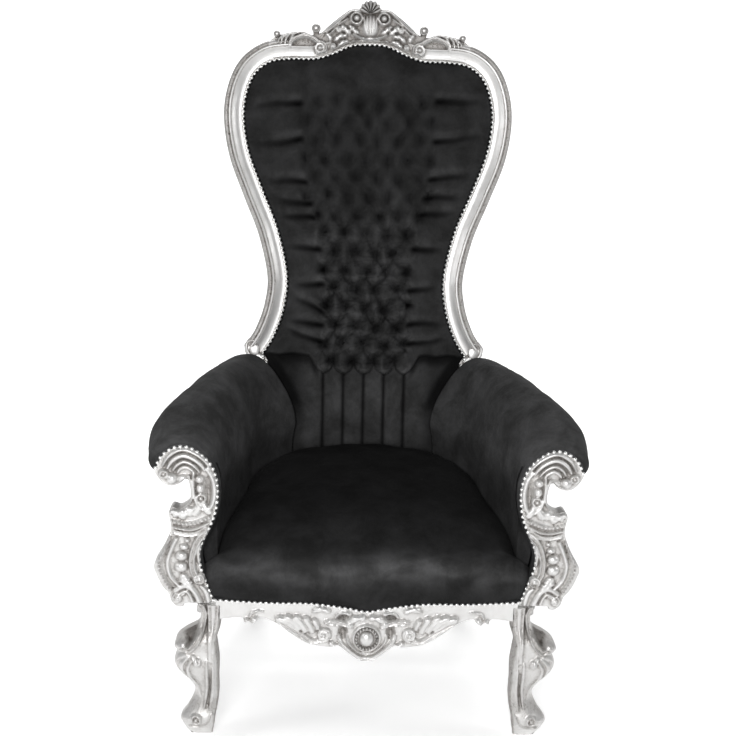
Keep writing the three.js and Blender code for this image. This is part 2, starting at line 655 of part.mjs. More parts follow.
const throne = new THREE.Group();
throne.add(
  node('crest_rail', crestRail(), SILVER),
  ...pair('back_post', backPost(), SILVER),
  node('back_rail', backRail(), SILVER),
  ...pair('side_rail', sideRail(), SILVER),
  node('front_rail', frontRail(), SILVER),
  ...pair('front_leg', frontLeg(), SILVER),
  ...pair('arm_support', armSupport(), SILVER),
  node('back_upholstery', backUpholstery(), VELVET),
  node('seat_upholstery', seatUpholstery(), VELVET),
  ...pair('arm_upholstery', armUpholstery(), VELVET),
  node('back_nail_trim', backNailTrim(), NAILS),
  ...pair('arm_nail_trim', armNailTrim(), NAILS),
  node('seat_nail_trim', seatNailTrim(), NAILS),
);

export default throne;
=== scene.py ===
"""Throne: carved silver-leafed frame, buttoned black velvet back, domed seat, rolled arms and nail heads."""
import math

import bpy
import numpy as np
from mathutils import Euler, Matrix, Vector
from mathutils.bvhtree import BVHTree
from mathutils.geometry import delaunay_2d_cdt


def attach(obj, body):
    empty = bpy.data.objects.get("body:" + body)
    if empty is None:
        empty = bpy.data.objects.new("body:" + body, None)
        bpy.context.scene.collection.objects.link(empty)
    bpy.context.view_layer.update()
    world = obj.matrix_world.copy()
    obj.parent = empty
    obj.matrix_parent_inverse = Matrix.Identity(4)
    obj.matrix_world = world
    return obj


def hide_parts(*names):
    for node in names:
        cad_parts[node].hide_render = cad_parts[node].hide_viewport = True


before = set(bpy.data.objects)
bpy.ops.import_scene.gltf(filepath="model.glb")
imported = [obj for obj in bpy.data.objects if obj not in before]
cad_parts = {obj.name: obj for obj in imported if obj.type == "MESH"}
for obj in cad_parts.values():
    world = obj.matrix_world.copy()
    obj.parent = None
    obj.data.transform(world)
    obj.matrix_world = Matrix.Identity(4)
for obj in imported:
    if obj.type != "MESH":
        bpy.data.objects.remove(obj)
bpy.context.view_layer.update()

# Sizes are in millimetres, in the frame's own axes; MM turns them into metres
MM = 0.001
RECLINE = math.radians(8.5)
BACK_Y, BACK_Z = 235.0, 777.0
RAIL_LOW, RAIL_TOP = 290.0, 358.0
SPLIT_Z = 338.4
ARM_FRONT_Y, FACING_Y, APRON_Y = -335.0, -375.0, -388.0
BOARD_BACK_Y = -335.4
FRAME_DEPTH = 40.0
POST_INNER, POST_OUTER, POST_BACK = 256.0, 310.0, -45.0
POST_BEND = -330.0
FIT_GAP = 0.6
NAIL_PITCH = 12.8
NAIL_RADIUS = 4.5
NAIL_LINE = 4.8
SHARP_ANGLE = 38

# Edge of the velvet on the back: half-width and height up the slope
BACK_OPENING = [
    (0, 816), (45, 813), (93, 792), (142, 777), (209, 775), (262, 765), (303, 725), (323, 645),
    (311, 545), (272, 440), (230, 334), (204, 215), (212, 126), (238, 50), (266, 4),
]
OPENING_SPAN = 40
# The crest ends between two controls of that edge, and its carving covers the moulding as far as its wings
CREST_JOINT, CREST_WING = 4.75, 3.9
CREST_FACE = 4.0
# Moulding of the back frame: how far out from the velvet, and how high over the back's plane
STILE_WIDTH = 56.0
STILE_PROFILE = [
    (0, -FRAME_DEPTH), (0, -2), (0.6, 0), (9.5, 0), (10.5, 2.6), (14, 2.8), (19, 3.8), (24, 6), (29, 9.2),
    (33, 12.6), (34.5, 13.4), (35.2, 12.4), (36, 12.6), (37.4, 14.6), (39.4, 15.2), (41.4, 14.4),
    (42.6, 12.2), (43.4, 11.2), (44.4, 12), (47, 13.2), (50, 12.4), (53, 9.4),
    (55, 5), (STILE_WIDTH, -1), (STILE_WIDTH, -FRAME_DEPTH),
]
CREST_TOP = [
    (240, 838), (205, 847), (175, 849), (152, 842), (128, 848), (110, 864), (93, 879), (70, 897), (49, 910),
    (26, 910),
]
STILE_FOOT = [
    (280, 8), (269, 1), (262, -9), (278, -14), (302, -10), (316, 8), (319, 28), (310, 42), (287, 30),
]

# Rear leg, from where the post bends: depth and height down its front and its back edge
REAR_LEG_FRONT = [(190, 365), (190, 285), (214, 190), (275, 90), (366, 0)]
REAR_LEG_BACK = [(240, 365), (240, 285), (262, 190), (319, 90), (408, 0)]
# Side rail: inner reach, outer reach and depth of its front and its rear end
SIDE_RAIL_ENDS = [(347, 390, -317.6), (264, 304, 189.4)]

# Arm support: its edge along the velvet, then its outer edge
FACING_INNER = [
    (342, 347), (356, 388), (366, 413), (373, 445), (372, 466), (362, 494), (347, 525), (337, 555),
    (332, 590), (333, 625), (341, 655), (355, 677), (378, 697), (400, 708), (424, 709), (446, 699),
    (464, 682), (475, 658),
]
FACING_OUTER = [
    (470, 640), (454, 620), (436, 615), (418, 621), (404, 633), (397, 617), (395, 592), (402, 573),
    (420, 562), (436, 565), (444, 552), (440, 530), (440, 512), (448, 488), (461, 461), (478, 430),
    (473, 407), (461, 380), (446, 361), (440, 343), (428, 331), (414, 331), (406, SPLIT_Z),
]

# Apron: half of its edge along the velvet and half of its carved lower edge
APRON_TOP = [(0, 332), (48, 340), (127, 350), (227, 351), (341, 357)]
APRON_LEG_END = 331.4
APRON_LOW = [
    (0, 206), (16, 208), (41, 226), (64, 244), (80, 240), (119, 245), (142, 253), (172, 273), (205, 298),
    (238, 311), (248, 302), (258, 295), (267, 302), (276, 298), (284, 311), (APRON_LEG_END, 306),
]
CABOCHON = (0, 264)

# Front leg: height, then outward, forward and inner reach from its corner
LEG_X, LEG_Y = 332.0, -318.0
LEG_TOP = SPLIT_Z - 0.2
LEG_AROUND = 250
LEG_STATIONS = [
    (0, 70, 28, 20), (14, 79, 43, 18), (36, 88, 61, 14), (55, 91, 72, 12), (80, 73, 65, 7),
    (110, 60, 56, 4), (132, 62, 60, 4), (153, 74, 70, 4), (176, 95, 79, 3), (200, 104, 83, 3),
    (228, 94, 79, 6), (250, 100, 80, 8), (265, 82, 74, 4), (278, 54, 66, 0), (292, 46, 60, 0),
    (310, 46, 57, 0), (325, 53, 57, 0), (LEG_TOP, 70, 57, 0),
]
LEG_C_SCROLL = [(376, 340), (367, 320), (369, 292), (381, 258), (400, 237)]
LEG_CUP = (418, 249)

# Cross-sections of the arm from front to back, and how far back each one stands
ARM_BOTTOM = RAIL_TOP + 0.4
ARM_FRONT = [
    (340, ARM_BOTTOM), (340, 545), (334, 600), (338, 650), (352, 682), (378, 708), (419, 722), (456, 716),
    (481, 697), (492, 670), (486, 646), (464, 630), (425, 622), (398, 600), (392, 450), (392, ARM_BOTTOM),
]
ARM_SWELL = [
    (335, ARM_BOTTOM), (335, 545), (329, 602), (332, 655), (347, 697), (376, 731), (420, 747), (460, 742),
    (488, 720), (500, 688), (495, 656), (470, 634), (426, 622), (394, 600), (387, 450), (387, ARM_BOTTOM),
]
ARM_MIDDLE = [
    (297, ARM_BOTTOM), (297, 545), (291, 602), (294, 662), (306, 716), (334, 762), (372, 784), (410, 777),
    (438, 753), (450, 721), (444, 690), (420, 662), (385, 642), (366, 600), (362, 450), (362, ARM_BOTTOM),
]
ARM_HIND = [
    (262, ARM_BOTTOM), (262, 545), (256, 604), (262, 664), (276, 722), (302, 768), (336, 788), (368, 783),
    (394, 764), (408, 734), (404, 700), (386, 668), (360, 642), (346, 600), (342, 450), (342, ARM_BOTTOM),
]
ARM_REAR = [
    (186, ARM_BOTTOM), (186, 545), (178, 610), (190, 660), (213, 705), (246, 752), (282, 780), (318, 786),
    (350, 777), (372, 756), (379, 728), (370, 690), (352, 655), (334, 600), (326, 450), (326, ARM_BOTTOM),
]
ARM_SECTIONS = np.array([ARM_FRONT, ARM_SWELL, ARM_MIDDLE, ARM_HIND, ARM_REAR], float)
ARM_SECTION_AT = np.array([0, 0.14, 0.5, 0.8, 1])
ARM_AROUND = 120
PAD_FRONT = 19.5
ARM_REAR_T = PAD_FRONT + 0.8

# Seat: height at its sides and along its middle from front to back, and the roll over its front
SEAT_SIDE = [(0, 462), (0.12, 476), (0.35, 496), (0.8, 528), (1, 538)]
SEAT_CROWN = [(0, 472), (0.12, 497), (0.28, 522), (0.5, 546), (0.75, 562), (1, 564)]
FRONT_ROLL = [(0, 0), (-17, -8), (-33, -20), (-46, -38), (-55, -62), (-58, -92), (-53.5, -120)]
SEAT_COLUMNS = 121
SEAT_UNDER_HALF = 336.0
SETTLE_CAP = 9.0
SETTLE_FRAMES = 20

# Buttoned back: spacing, top, hem and half-width of its field, and each side pleat's height and slope
BUTTON_ACROSS, BUTTON_UP = 54.0, 48.7
PAD_COLUMNS = 201
TUFT_TOP = 668.0
TUFT_LOW = -47.0
TUFT_HALF = [(-60, 122), (230, 122), (330, 140), (480, 176), (600, 188), (690, 188)]
LEFT_PLEATS = [
    (668, -0.12), (572, -0.15), (463, 0), (410, 0.02), (370, 0.05), (291, -0.02), (195, 0), (128, 0.45),
    (92, 0.04), (46, 0.35),
]
RIGHT_PLEATS = [
    (677, 0.05), (577, 0.10), (479, 0.06), (428, 0.02), (383, 0.10), (293, 0), (187, 0), (94, 0.02),
    (42, 0.15),
]

# Camera, fitted to the photograph
CAMERA_AT = (-0.109, -2.911, 1.469)
CAMERA_YAW, CAMERA_PITCH, CAMERA_ROLL = math.radians(2.20), math.radians(-12.90), math.radians(1.45)
FOCAL_PX, IMAGE_PX = 1206.0, 736.0
SENSOR_WIDTH = 36.0


# Curves
def catmull(points, per_span):
    """Smooth points through the controls, per_span to each span."""
    p = np.asarray(points, float)
    padded = np.vstack([p[:1], p, p[-1:]])
    t = np.linspace(0, 1, per_span, endpoint=False)[:, None]
    spans = []
    for i in range(len(p) - 1):
        p0, p1, p2, p3 = padded[i:i + 4]
        v0, v1 = (p2 - p0) / 2, (p3 - p1) / 2
        bend = (2 * p1 - 2 * p2 + v0 + v1) * t**3 + (3 * p2 - 3 * p1 - 2 * v0 - v1) * t**2
        spans.append(bend + v0 * t + p1)
    return np.vstack(spans + [p[-1:]])


def lengths(path):
    return np.concatenate([[0], np.cumsum(np.linalg.norm(np.diff(path, axis=0), axis=1))])


def resample(path, along, places):
    """The path's points at other places along it."""
    return np.column_stack([np.interp(places, along, path[:, k]) for k in range(path.shape[1])])


def even(path, step):
    """The path again, with its points about a step apart."""
    along = lengths(path)
    count = max(2, int(round(along[-1] / step)) + 1)
    return resample(path, along, np.linspace(0, along[-1], count))


def smooth_path(points, step=2.0):
    return even(catmull(points, 24), step)


def left_normals(path):
    d = np.gradient(path, axis=0)
    d /= np.linalg.norm(d, axis=1, keepdims=True) + 1e-12
    return np.column_stack([-d[:, 1], d[:, 0]])


def mirrored(points):
    return [(-x, y) for x, y in points]


def both_sides(half):
    """A half outline from the middle outward, as the whole from left to right."""
    return mirrored(half[1:])[::-1] + list(half)


def smoothstep(f):
    f = np.clip(f, 0, 1)
    return f * f * (3 - 2 * f)


def bell(d, width):
    """A soft bump, 1 in its middle."""
    return np.exp(-((d / width) ** 2))


def inside(points, outline):
    """Which points lie inside a closed outline."""
    x, y = points[:, 0][:, None], points[:, 1][:, None]
    a, b = outline, np.roll(outline, -1, axis=0)
    crosses = (a[:, 1] > y) != (b[:, 1] > y)
    with np.errstate(divide="ignore", invalid="ignore"):
        at = a[:, 0] + (y - a[:, 1]) * (b[:, 0] - a[:, 0]) / (b[:, 1] - a[:, 1])
    return (crosses & (x < at)).sum(axis=1) % 2 == 1


def nearest_gap(u, w, places):
    """How far each point lies from the nearest of the places."""
    gap = np.full(u.shape, 1e12)
    for x, y in places:
        gap = np.minimum(gap, (u - x) ** 2 + (w - y) ** 2)
    return np.sqrt(gap)


# Skins gathered into one mesh
class Skins:
    """Skins in millimetres that become one mesh; carving is built in its own plane as (across, up, out)."""

    def __init__(self):
        self.points, self.faces, self.count = [], [], 0

    def add(self, points, faces, outward=False):
        """Takes a skin in; outward turns its faces out if they wind the other way."""
        points = np.asarray(points, float)
        if outward:
            fans = [[face[0], face[k], face[k + 1]] for face in faces for k in range(1, len(face) - 1)]
            a, b, c = (points[corner] - points.mean(axis=0) for corner in np.array(fans).T)
            if np.einsum("ij,ij->", a, np.cross(b, c)) < 0:
                faces = [face[::-1] for face in faces]
        self.points.append(points)
        self.faces += [tuple(int(k) + self.count for k in face) for face in faces]
        self.count += len(points)

    def grid(self, sheet, wrap=False, caps=False):
        """A skin over rows of points; wrap joins each row's end to its start, caps close both end rows."""
        rows, cols = sheet.shape[:2]
        index = np.arange(rows * cols).reshape(rows, cols)
        right = np.roll(index, -1, axis=1) if wrap else index[:, 1:]
        left = index if wrap else index[:, :-1]
        quads = np.stack([left[:-1], right[:-1], right[1:], left[1:]], axis=-1).reshape(-1, 4)
        faces = [tuple(q) for q in quads]
        if caps:
            faces += [tuple(index[0][::-1]), tuple(index[-1])]
        self.add(sheet.reshape(-1, 3), faces, True)

    def mirror(self):
        """Adds the other half, across the middle plane."""
        self.add(self.array() * (-1, 1, 1), [face[::-1] for face in self.faces])

    def join(self, other):
        self.add(other.array(), other.faces)

    def tube(self, sheet):
        """A closed skin over rows of points that each run all the way round."""
        self.grid(sheet, wrap=True, caps=True)

    def array(self):
        return np.vstack(self.points)

    def place(self, where):
        """Moves every point by where(across, up, out), which gives frame coordinates."""
        p = self.array()
        self.points = [np.column_stack(where(p[:, 0], p[:, 1], p[:, 2]))]
        return self


def on_back(u, w, t):
    """Frame coordinates of a point on the leaning back: across, up the slope and out from its plane."""
    s, c = math.sin(RECLINE), math.cos(RECLINE)
    return u, BACK_Y + w * s - t * c, BACK_Z + w * c + t * s


def on_front(face_y):
    return lambda u, w, t: (u, face_y - t, w)


def back_plane_y(t, z):
    """Depth of the plane that lies t in front of the back, at a height."""
    w = (z - BACK_Z - t * math.sin(RECLINE)) / math.cos(RECLINE)
    return BACK_Y + w * math.sin(RECLINE) - t * math.cos(RECLINE)


# Carving kit: every function adds to a Skins in the carving's own plane
FOOT = -4.0
VOLUTE_LIFT = 0.35
ROUND = both_sides([(0, 1), (0.42, 0.91), (0.76, 0.66), (0.94, 0.35), (1, 0)])
COVE = both_sides([
    (0, 0.5), (0.2, 0.55), (0.42, 0.68), (0.62, 0.9), (0.78, 1), (0.92, 0.93), (1, 0.7), (1, 0),
])
REEDS = both_sides([(0, 1), (0.36, 0.82), (0.46, 0.55), (0.58, 0.8), (0.8, 0.85), (0.97, 0.6), (1, 0)])


def lifted(points, out):
    """Points of the plane, all at one height over it."""
    return np.column_stack([points, np.full(len(points), float(out))])


def band(skins, path, width, height, base=0.0, shape=ROUND, lift=0.0):
    """A raised strip along a path; width, height and lift may change along it."""
    path = np.asarray(path, float)
    f = np.linspace(0, 1, len(path))
    side = left_normals(path)
    half, tall, rise = (np.broadcast_to(v(f) if callable(v) else v, f.shape) for v in (width, height, lift))
    rows = []
    for across, up in [(shape[0][0], None)] + list(shape) + [(shape[-1][0], None)]:
        out = np.full(len(f), base + FOOT) if up is None else base + rise + up * tall
        rows.append(np.column_stack([path + side * (across * half)[:, None], out]))
    skins.tube(np.stack(rows, axis=1))


def strip(skins, controls, width, height, base=0.0, shape=ROUND):
    band(skins, smooth_path(controls), width, height, base, shape)


def taper(first, last):
    return lambda f: first + (last - first) * f


def pinched(size, ends):
    """Full in the middle and small at both ends."""
    return lambda f: size * (ends + (1 - ends) * np.sqrt(np.clip(np.sin(np.pi * f), 0, 1)))


def oval(at, across, up, count=60):
    a = np.linspace(0, 2 * np.pi, count)
    return np.column_stack([at[0] + across * np.cos(a), at[1] + up * np.sin(a)])


def rings(skins, at, across, up, levels, around=20):
    """A closed stack of ovals; levels lists each one's share of the full size and its height."""
    rows = [lifted(oval(at, across * share, up * share, around + 1)[:-1], out) for share, out in levels]
    skins.tube(np.stack(rows))


def dome(skins, at, across, up, height, base=0.0, around=20, count=7):
    """A half ball or oval on the ground."""
    slopes = np.linspace(0, np.pi / 2 * 0.96, count)
    levels = [(1, base + FOOT)] + [(np.cos(k), base + height * np.sin(k)) for k in slopes]
    rings(skins, at, across, up, levels, around)


def ball(skins, at, radius, out):
    slopes = np.linspace(-0.48, 0.48, 12) * np.pi
    rings(skins, at, radius, radius, [(np.cos(k), out + radius * np.sin(k)) for k in slopes])


def rosette(skins, at, radius, width, height, pearl, pearl_height, base=0.0):
    """A pearl in a ring."""
    band(skins, oval(at, radius, radius), width, height, base)
    dome(skins, at, pearl, pearl, pearl_height, base)


def volute(skins, tail, eye, radius, start, turns, width, height, base=0.0, *, pearl):
    """A C-scroll: a strip that runs in along its tail and winds into a spiral round a pearl."""
    steps = max(12, int(abs(turns) * 40))
    angle = math.radians(start) + 2 * np.pi * turns * np.linspace(0, 1, steps)
    reach = np.linspace(radius - width, pearl * radius + 0.35 * width, steps)
    spiral = np.column_stack([eye[0] + reach * np.cos(angle), eye[1] + reach * np.sin(angle)])
    lead = catmull(list(tail) + [tuple(spiral[0]), tuple(spiral[3])], 16)[:-17] if tail else np.empty((0, 2))
    path = even(np.vstack([lead, spiral]), 1.6)
    share = len(lead) / (len(lead) + steps) if tail else 0.0

    def slim(f):
        return width * (1 - 0.55 * smoothstep((f - share) / (1.001 - share)))

    def climb(f):
        return VOLUTE_LIFT * height * smoothstep((f - share) / (1.001 - share))

    band(skins, path, slim, height, base, COVE, climb)
    dome(skins, eye, pearl * radius, pearl * radius, height * (1 + VOLUTE_LIFT) * 1.1, base)


def leaf(skins, spine, width, height, lobes, base=0.0, curl=0.3, notch=0.45, cross=15):
    """An acanthus leaf: a crowned blade on a bent spine, its edge cut into lobes with a rib to each."""
    path = even(catmull(spine, 20), 1.2)
    side = left_normals(path)
    ahead = np.column_stack([side[:, 1], -side[:, 0]])
    along, across = np.meshgrid(np.linspace(0, 1, len(path)), np.linspace(-1, 1, cross), indexing="ij")
    aside = np.abs(across)
    scallop = 1 - notch * (0.5 + 0.5 * np.cos(2 * np.pi * lobes * along)) ** 2
    body = np.sqrt(np.clip(np.sin(np.pi * np.clip(0.12 + 0.88 * along, 0, 1)), 0, 1)) * 0.9 + 0.1
    half = width * body * scallop
    sweep = 0.14 * lengths(path)[-1] * aside**1.6 * np.sin(np.pi * along)
    flat = path[:, None] + side[:, None] * (across * half)[..., None] + ahead[:, None] * sweep[..., None]
    crown = 1 - 0.55 * aside**2.2
    ribs = 0.16 * aside**0.7 * np.cos(2 * np.pi * (lobes * along - 0.5 * aside) + np.pi)
    vein = 0.22 * bell(across, 0.12)
    swell = 0.55 + 0.45 * np.sin(np.pi * np.clip(along * 0.9 + 0.1, 0, 1))
    out = base + height * (crown + ribs - vein) * swell + curl * height * along**3
    blade = np.concatenate([flat, out[..., None]], axis=2)
    foot = blade.copy()
    foot[..., 2] = base + FOOT
    closed = np.concatenate([foot[:, :1], blade, foot[:, -1:]], axis=1)
    ends = [lifted(closed[k][:, :2], base + FOOT)[None] for k in (0, -1)]
    skins.grid(np.concatenate([ends[0], closed, ends[1]]))


def shell(skins, at, radius, ribs, spread, height, base):
    """A scallop shell: a fan of rounded ribs, closed behind."""
    behind = base - 20
    fan, share = np.meshgrid(np.linspace(-0.5, 0.5, ribs * 12 + 1), np.linspace(0.12, 1, 22), indexing="ij")
    wave = np.abs(np.cos(np.pi * ribs * fan))
    angle = math.radians(90) - math.radians(spread) * fan
    reach = radius * share * (1 - 0.10 * (1 - wave) * share - 0.16 * (2 * fan) ** 2 * share)
    out = base + height * (0.45 + 0.55 * np.sin(np.pi * share**0.8)) * (0.45 + 0.55 * wave)
    face = np.stack([at[0] + reach * np.cos(angle), at[1] + reach * np.sin(angle), out], axis=2)
    rim = face[:, -1:].copy()
    rim[..., 2] = behind
    skins.grid(np.concatenate([face, rim], axis=1))
    back = np.vstack([(*at, behind), rim[:, 0]])
    skins.add(back, [tuple(range(len(back)))])
    for k in (0, -1):
        skins.grid(np.stack([face[k], lifted(face[k][:, :2], base + FOOT)], axis=1))


def pearls(skins, path, pitch, radius, height, base=0.0):
    for at in even(np.asarray(path, float), pitch):
        dome(skins, at, radius, radius, height, base, 10, 5)


def board(skins, outline, back, front, rounding=2.5, step=3.0, ground=None):
    """A sawn board with rounded front edges; ground(across, up) raises or sinks its face."""
    outline = np.asarray(outline, float)
    edge = even(np.vstack([outline, outline[:1]]), step)[:-1]
    area = np.sum(edge[:, 0] * np.roll(edge[:, 1], -1) - np.roll(edge[:, 0], -1) * edge[:, 1])
    if area < 0:
        edge = edge[::-1]
    inward = left_normals(np.vstack([edge[-3:], edge, edge[:3]]))[3:-3]
    rows = [lifted(edge, back)]
    for k in np.linspace(0, np.pi / 2, 5):
        inset = edge + inward * rounding * (1 - math.cos(k))
        rows.append(lifted(inset, front - rounding * (1 - math.sin(k))))
    skins.grid(np.stack(rows), wrap=True)
    count = len(edge)
    skins.add(rows[0], [tuple(range(count))[::-1]])
    face = rows[-1][:, :2]
    low, high = face.min(axis=0), face.max(axis=0)
    x, y = np.meshgrid(np.arange(low[0], high[0], step), np.arange(low[1], high[1], step))
    x = x + 0.5 * step * (np.arange(x.shape[0])[:, None] % 2)
    dots = np.column_stack([x.ravel(), y.ravel()])
    dots = dots[inside(dots, face)]
    dots = dots[nearest_gap(*dots.T, face) > 0.55 * step]
    loop = [(k, (k + 1) % count) for k in range(count)]
    places = [Vector(p) for p in np.vstack([face, dots])]
    points, _, faces, *_ = delaunay_2d_cdt(places, loop, [], 1, 1e-6)
    points = np.array([(p.x, p.y) for p in points])
    out = np.full(len(points), float(front))
    if ground is not None:
        out += ground(*points.T) * smoothstep(nearest_gap(*points.T, face) / 3)
    skins.add(np.column_stack([points, out]), faces)


def relief(carve, face=0.0, cell=1.0, soften=1.1):
    """Carving as one soft skin: the height of its parts over the face at any point, slightly worn down."""
    points = carve.array()
    tree = BVHTree.FromPolygons([tuple(p) for p in points], carve.faces)
    low = np.floor(points.min(axis=0)[:2]) - 4
    high = np.ceil(points.max(axis=0)[:2]) + 4
    us, ws = (np.arange(low[k], high[k], cell) for k in (0, 1))
    height = np.zeros((len(ws), len(us)))
    for j, w in enumerate(ws):
        for i, u in enumerate(us):
            hit = tree.ray_cast((u, w, 200.0), (0, 0, -1.0))
            if hit[0] is not None:
                height[j, i] = max(0.0, hit[0].z - face)
    reach = np.arange(-4, 5)
    weight = np.exp(-((reach * cell / soften) ** 2) / 2)
    weight /= weight.sum()
    for axis in (0, 1):
        height = sum(np.roll(height, k, axis) * weight[k + 4] for k in reach)

    def ground(u, w):
        i = np.clip((u - low[0]) / cell, 0, len(us) - 1.001)
        j = np.clip((w - low[1]) / cell, 0, len(ws) - 1.001)
        i0, j0 = i.astype(int), j.astype(int)
        fi, fj = i - i0, j - j0
        near = height[j0, i0] * (1 - fi) + height[j0, i0 + 1] * fi
        far = height[j0 + 1, i0] * (1 - fi) + height[j0 + 1, i0 + 1] * fi
        return near * (1 - fj) + far * fj

    return ground


# Turning skins into pieces
def mark(piece, name, values):
    """Stores a value for each point of a piece, for its material to read."""
    layer = piece.data.attributes.new(name, "FLOAT", "POINT")
    layer.data.foreach_set("value", np.clip(values, 0, 1).astype(np.float32))


def hemisphere():
    """Directions over half a ball, to look out from a point."""
    rays = []
    for height, count in ((0.92, 4), (0.62, 6), (0.26, 6)):
        flat = math.sqrt(1 - height**2)
        for k in range(count):
            turn = 2 * math.pi * (k + 0.5 * (count == 4)) / count
            rays.append(Vector((flat * math.cos(turn), flat * math.sin(turn), height)))
    return rays


PATINA_REACH = 9 * MM
PATINA_RAYS = hemisphere()


def add_patina(piece, tone, sunk):
    """Stores how shut in each point is, where the glaze stays dark; sunk adds to it, as glaze on sunk ground
    on some pieces and as painted shade on others. Backs stay plain.
    """
    mesh = piece.data
    mesh.calc_loop_triangles()
    points = [v.co.copy() for v in mesh.vertices]
    tree = BVHTree.FromPolygons(points, [tuple(t.vertices) for t in mesh.loop_triangles])
    shut = np.zeros(len(points), np.float32)
    for k, vertex in enumerate(mesh.vertices):
        normal = vertex.normal
        if normal.y > 0.7:
            continue
        turn = normal.to_track_quat("Z", "Y")
        origin = vertex.co + normal * 0.6 * MM
        for ray in PATINA_RAYS:
            hit = tree.ray_cast(origin, turn @ ray, PATINA_REACH)
            if hit[0] is not None:
                shut[k] += 1 - 0.6 * hit[3] / PATINA_REACH
    shut = tone * 1.2 * shut / len(PATINA_RAYS)
    if sunk is not None:
        shut += sunk
    mark(piece, "patina_and_shade", shut)


def settle(piece, held):
    """Lets a cover settle over its filling; held points stay, and the rest move no further than the cap."""
    mesh, scene = piece.data, bpy.context.scene
    start = np.empty(3 * len(mesh.vertices), np.float32)
    mesh.vertices.foreach_get("co", start)
    group = piece.vertex_groups.new(name="held")
    group.add([int(k) for k in np.flatnonzero(held)], 1.0, "REPLACE")
    cloth = piece.modifiers.new("settle", "CLOTH")
    cloth.settings.quality = 5
    cloth.settings.use_pressure = True
    cloth.settings.uniform_pressure_force = 4
    cloth.settings.shrink_min = -0.05
    cloth.settings.vertex_group_mass = group.name
    cloth.settings.effector_weights.gravity = 0
    cloth.point_cache.frame_end = SETTLE_FRAMES
    for k in range(1, SETTLE_FRAMES + 1):
        scene.frame_set(k)
    settled = piece.evaluated_get(bpy.context.evaluated_depsgraph_get()).data
    end = np.empty_like(start)
    settled.vertices.foreach_get("co", end)
    move = (end - start).reshape(-1, 3)
    reach = np.linalg.norm(move, axis=1, keepdims=True)
    move *= np.minimum(1, SETTLE_CAP * MM / (reach + 1e-9))
    mesh.vertices.foreach_set("co", start + move.ravel())
    piece.modifiers.remove(cloth)
    piece.vertex_groups.clear()
    scene.frame_set(1)
    mesh.update()


def enrol(name, mesh, node):
    """A mesh as a piece of the scene, with the node that it stands for."""
    piece = bpy.data.objects.new(name, mesh)
    bpy.context.scene.collection.objects.link(piece)
    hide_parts(node)
    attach(piece, "root")
    return piece


def make_piece(name, skins, finish, node, crease=SHARP_ANGLE, pad=None, tone=None, sunk=None, held=None):
    """One piece in a finish; tone and sunk set its glaze, where sunk also carries painted shade on some
    pieces, and a cover with held points settles.
    """
    material, slot = finish
    mesh = bpy.data.meshes.new(name)
    mesh.from_pydata((skins.array() * MM).tolist(), [], skins.faces)
    mesh.validate()
    mesh.polygons.foreach_set("use_smooth", np.ones(len(mesh.polygons), bool))
    if crease is not None:
        mesh.set_sharp_from_angle(angle=math.radians(crease))
    mesh.update()
    mesh.materials.append(material)
    piece = enrol(name, mesh, node)
    if tone is not None:
        add_patina(piece, tone, sunk)
    if held is not None:
        settle(piece, held)
    return piece


def make_pair(name, skins, finish, pad=None, **options):
    """A piece for the right side and its mirror image for the left."""
    right = make_piece(f"right_{name}_piece", skins, finish, f"right_{name}", pad=pad, **options)
    mesh = right.data.copy()
    mesh.transform(Matrix.Scale(-1, 4, (1, 0, 0)))
    mesh.flip_normals()
    return right, enrol(f"left_{name}_piece", mesh, f"left_{name}")


# Materials
class Paint:
    """A material in the making; a socket takes a number, a colour or another node's output."""

    def __init__(self, name):
        self.material = bpy.data.materials.new(name)
        self.material.use_nodes = True
        self.nodes, self.links = self.material.node_tree.nodes, self.material.node_tree.links

    def feed(self, node, values):
        for socket, value in values.items():
            if isinstance(value, bpy.types.NodeSocket):
                self.links.new(value, node.inputs[socket])
            else:
                node.inputs[socket].default_value = value

    def noise(self, scale, detail, **others):
        place = self.nodes.new("ShaderNodeTexCoord").outputs["Object"]
        node = self.nodes.new("ShaderNodeTexNoise")
        self.feed(node, {"Vector": place, "Scale": scale, "Detail": detail, **others})
        return node.outputs["Fac"]

    def stored(self, name):
        """A value that the piece stores for each of its points."""
        node = self.nodes.new("ShaderNodeAttribute")
        node.attribute_name = name
        return node.outputs["Fac"]

    def calc(self, operation, *values):
        node = self.nodes.new("ShaderNodeMath")
        node.operation = operation
        self.feed(node, dict(enumerate(values)))
        return node.outputs[0]

    def mix(self, share, first, second):
        node = self.nodes.new("ShaderNodeMix")
        node.data_type = "RGBA"
        self.feed(node, {"Factor": share, "A": first, "B": second})
        return node.outputs["Result"]

    def ramp(self, value, first, last, *between):
        """Colours along a value, each with its place."""
        node = self.nodes.new("ShaderNodeValToRGB")
        stops = node.color_ramp.elements
        for stop, (place, colour) in zip(stops, (first, last)):
            stop.position = place
            stop.color = colour
        for place, colour in between:
            stops.new(place).color = colour
        self.feed(node, {"Fac": value})
        return node.outputs["Color"]

    def spread(self, value, low, high, start=0.0, end=1.0):
        """A value from start to end, brought into the range from low to high."""
        node = self.nodes.new("ShaderNodeMapRange")
        limits = {"From Min": start, "From Max": end, "To Min": low, "To Max": high}
        self.feed(node, {"Value": value, **limits})
        return node.outputs["Result"]

    def bump(self, height, strength, distance, **under):
        node = self.nodes.new("ShaderNodeBump")
        self.feed(node, {"Height": height, "Strength": strength, "Distance": distance, **under})
        return node.outputs["Normal"]

    def finish(self, values):
        self.feed(self.nodes["Principled BSDF"], values)
        return self.material


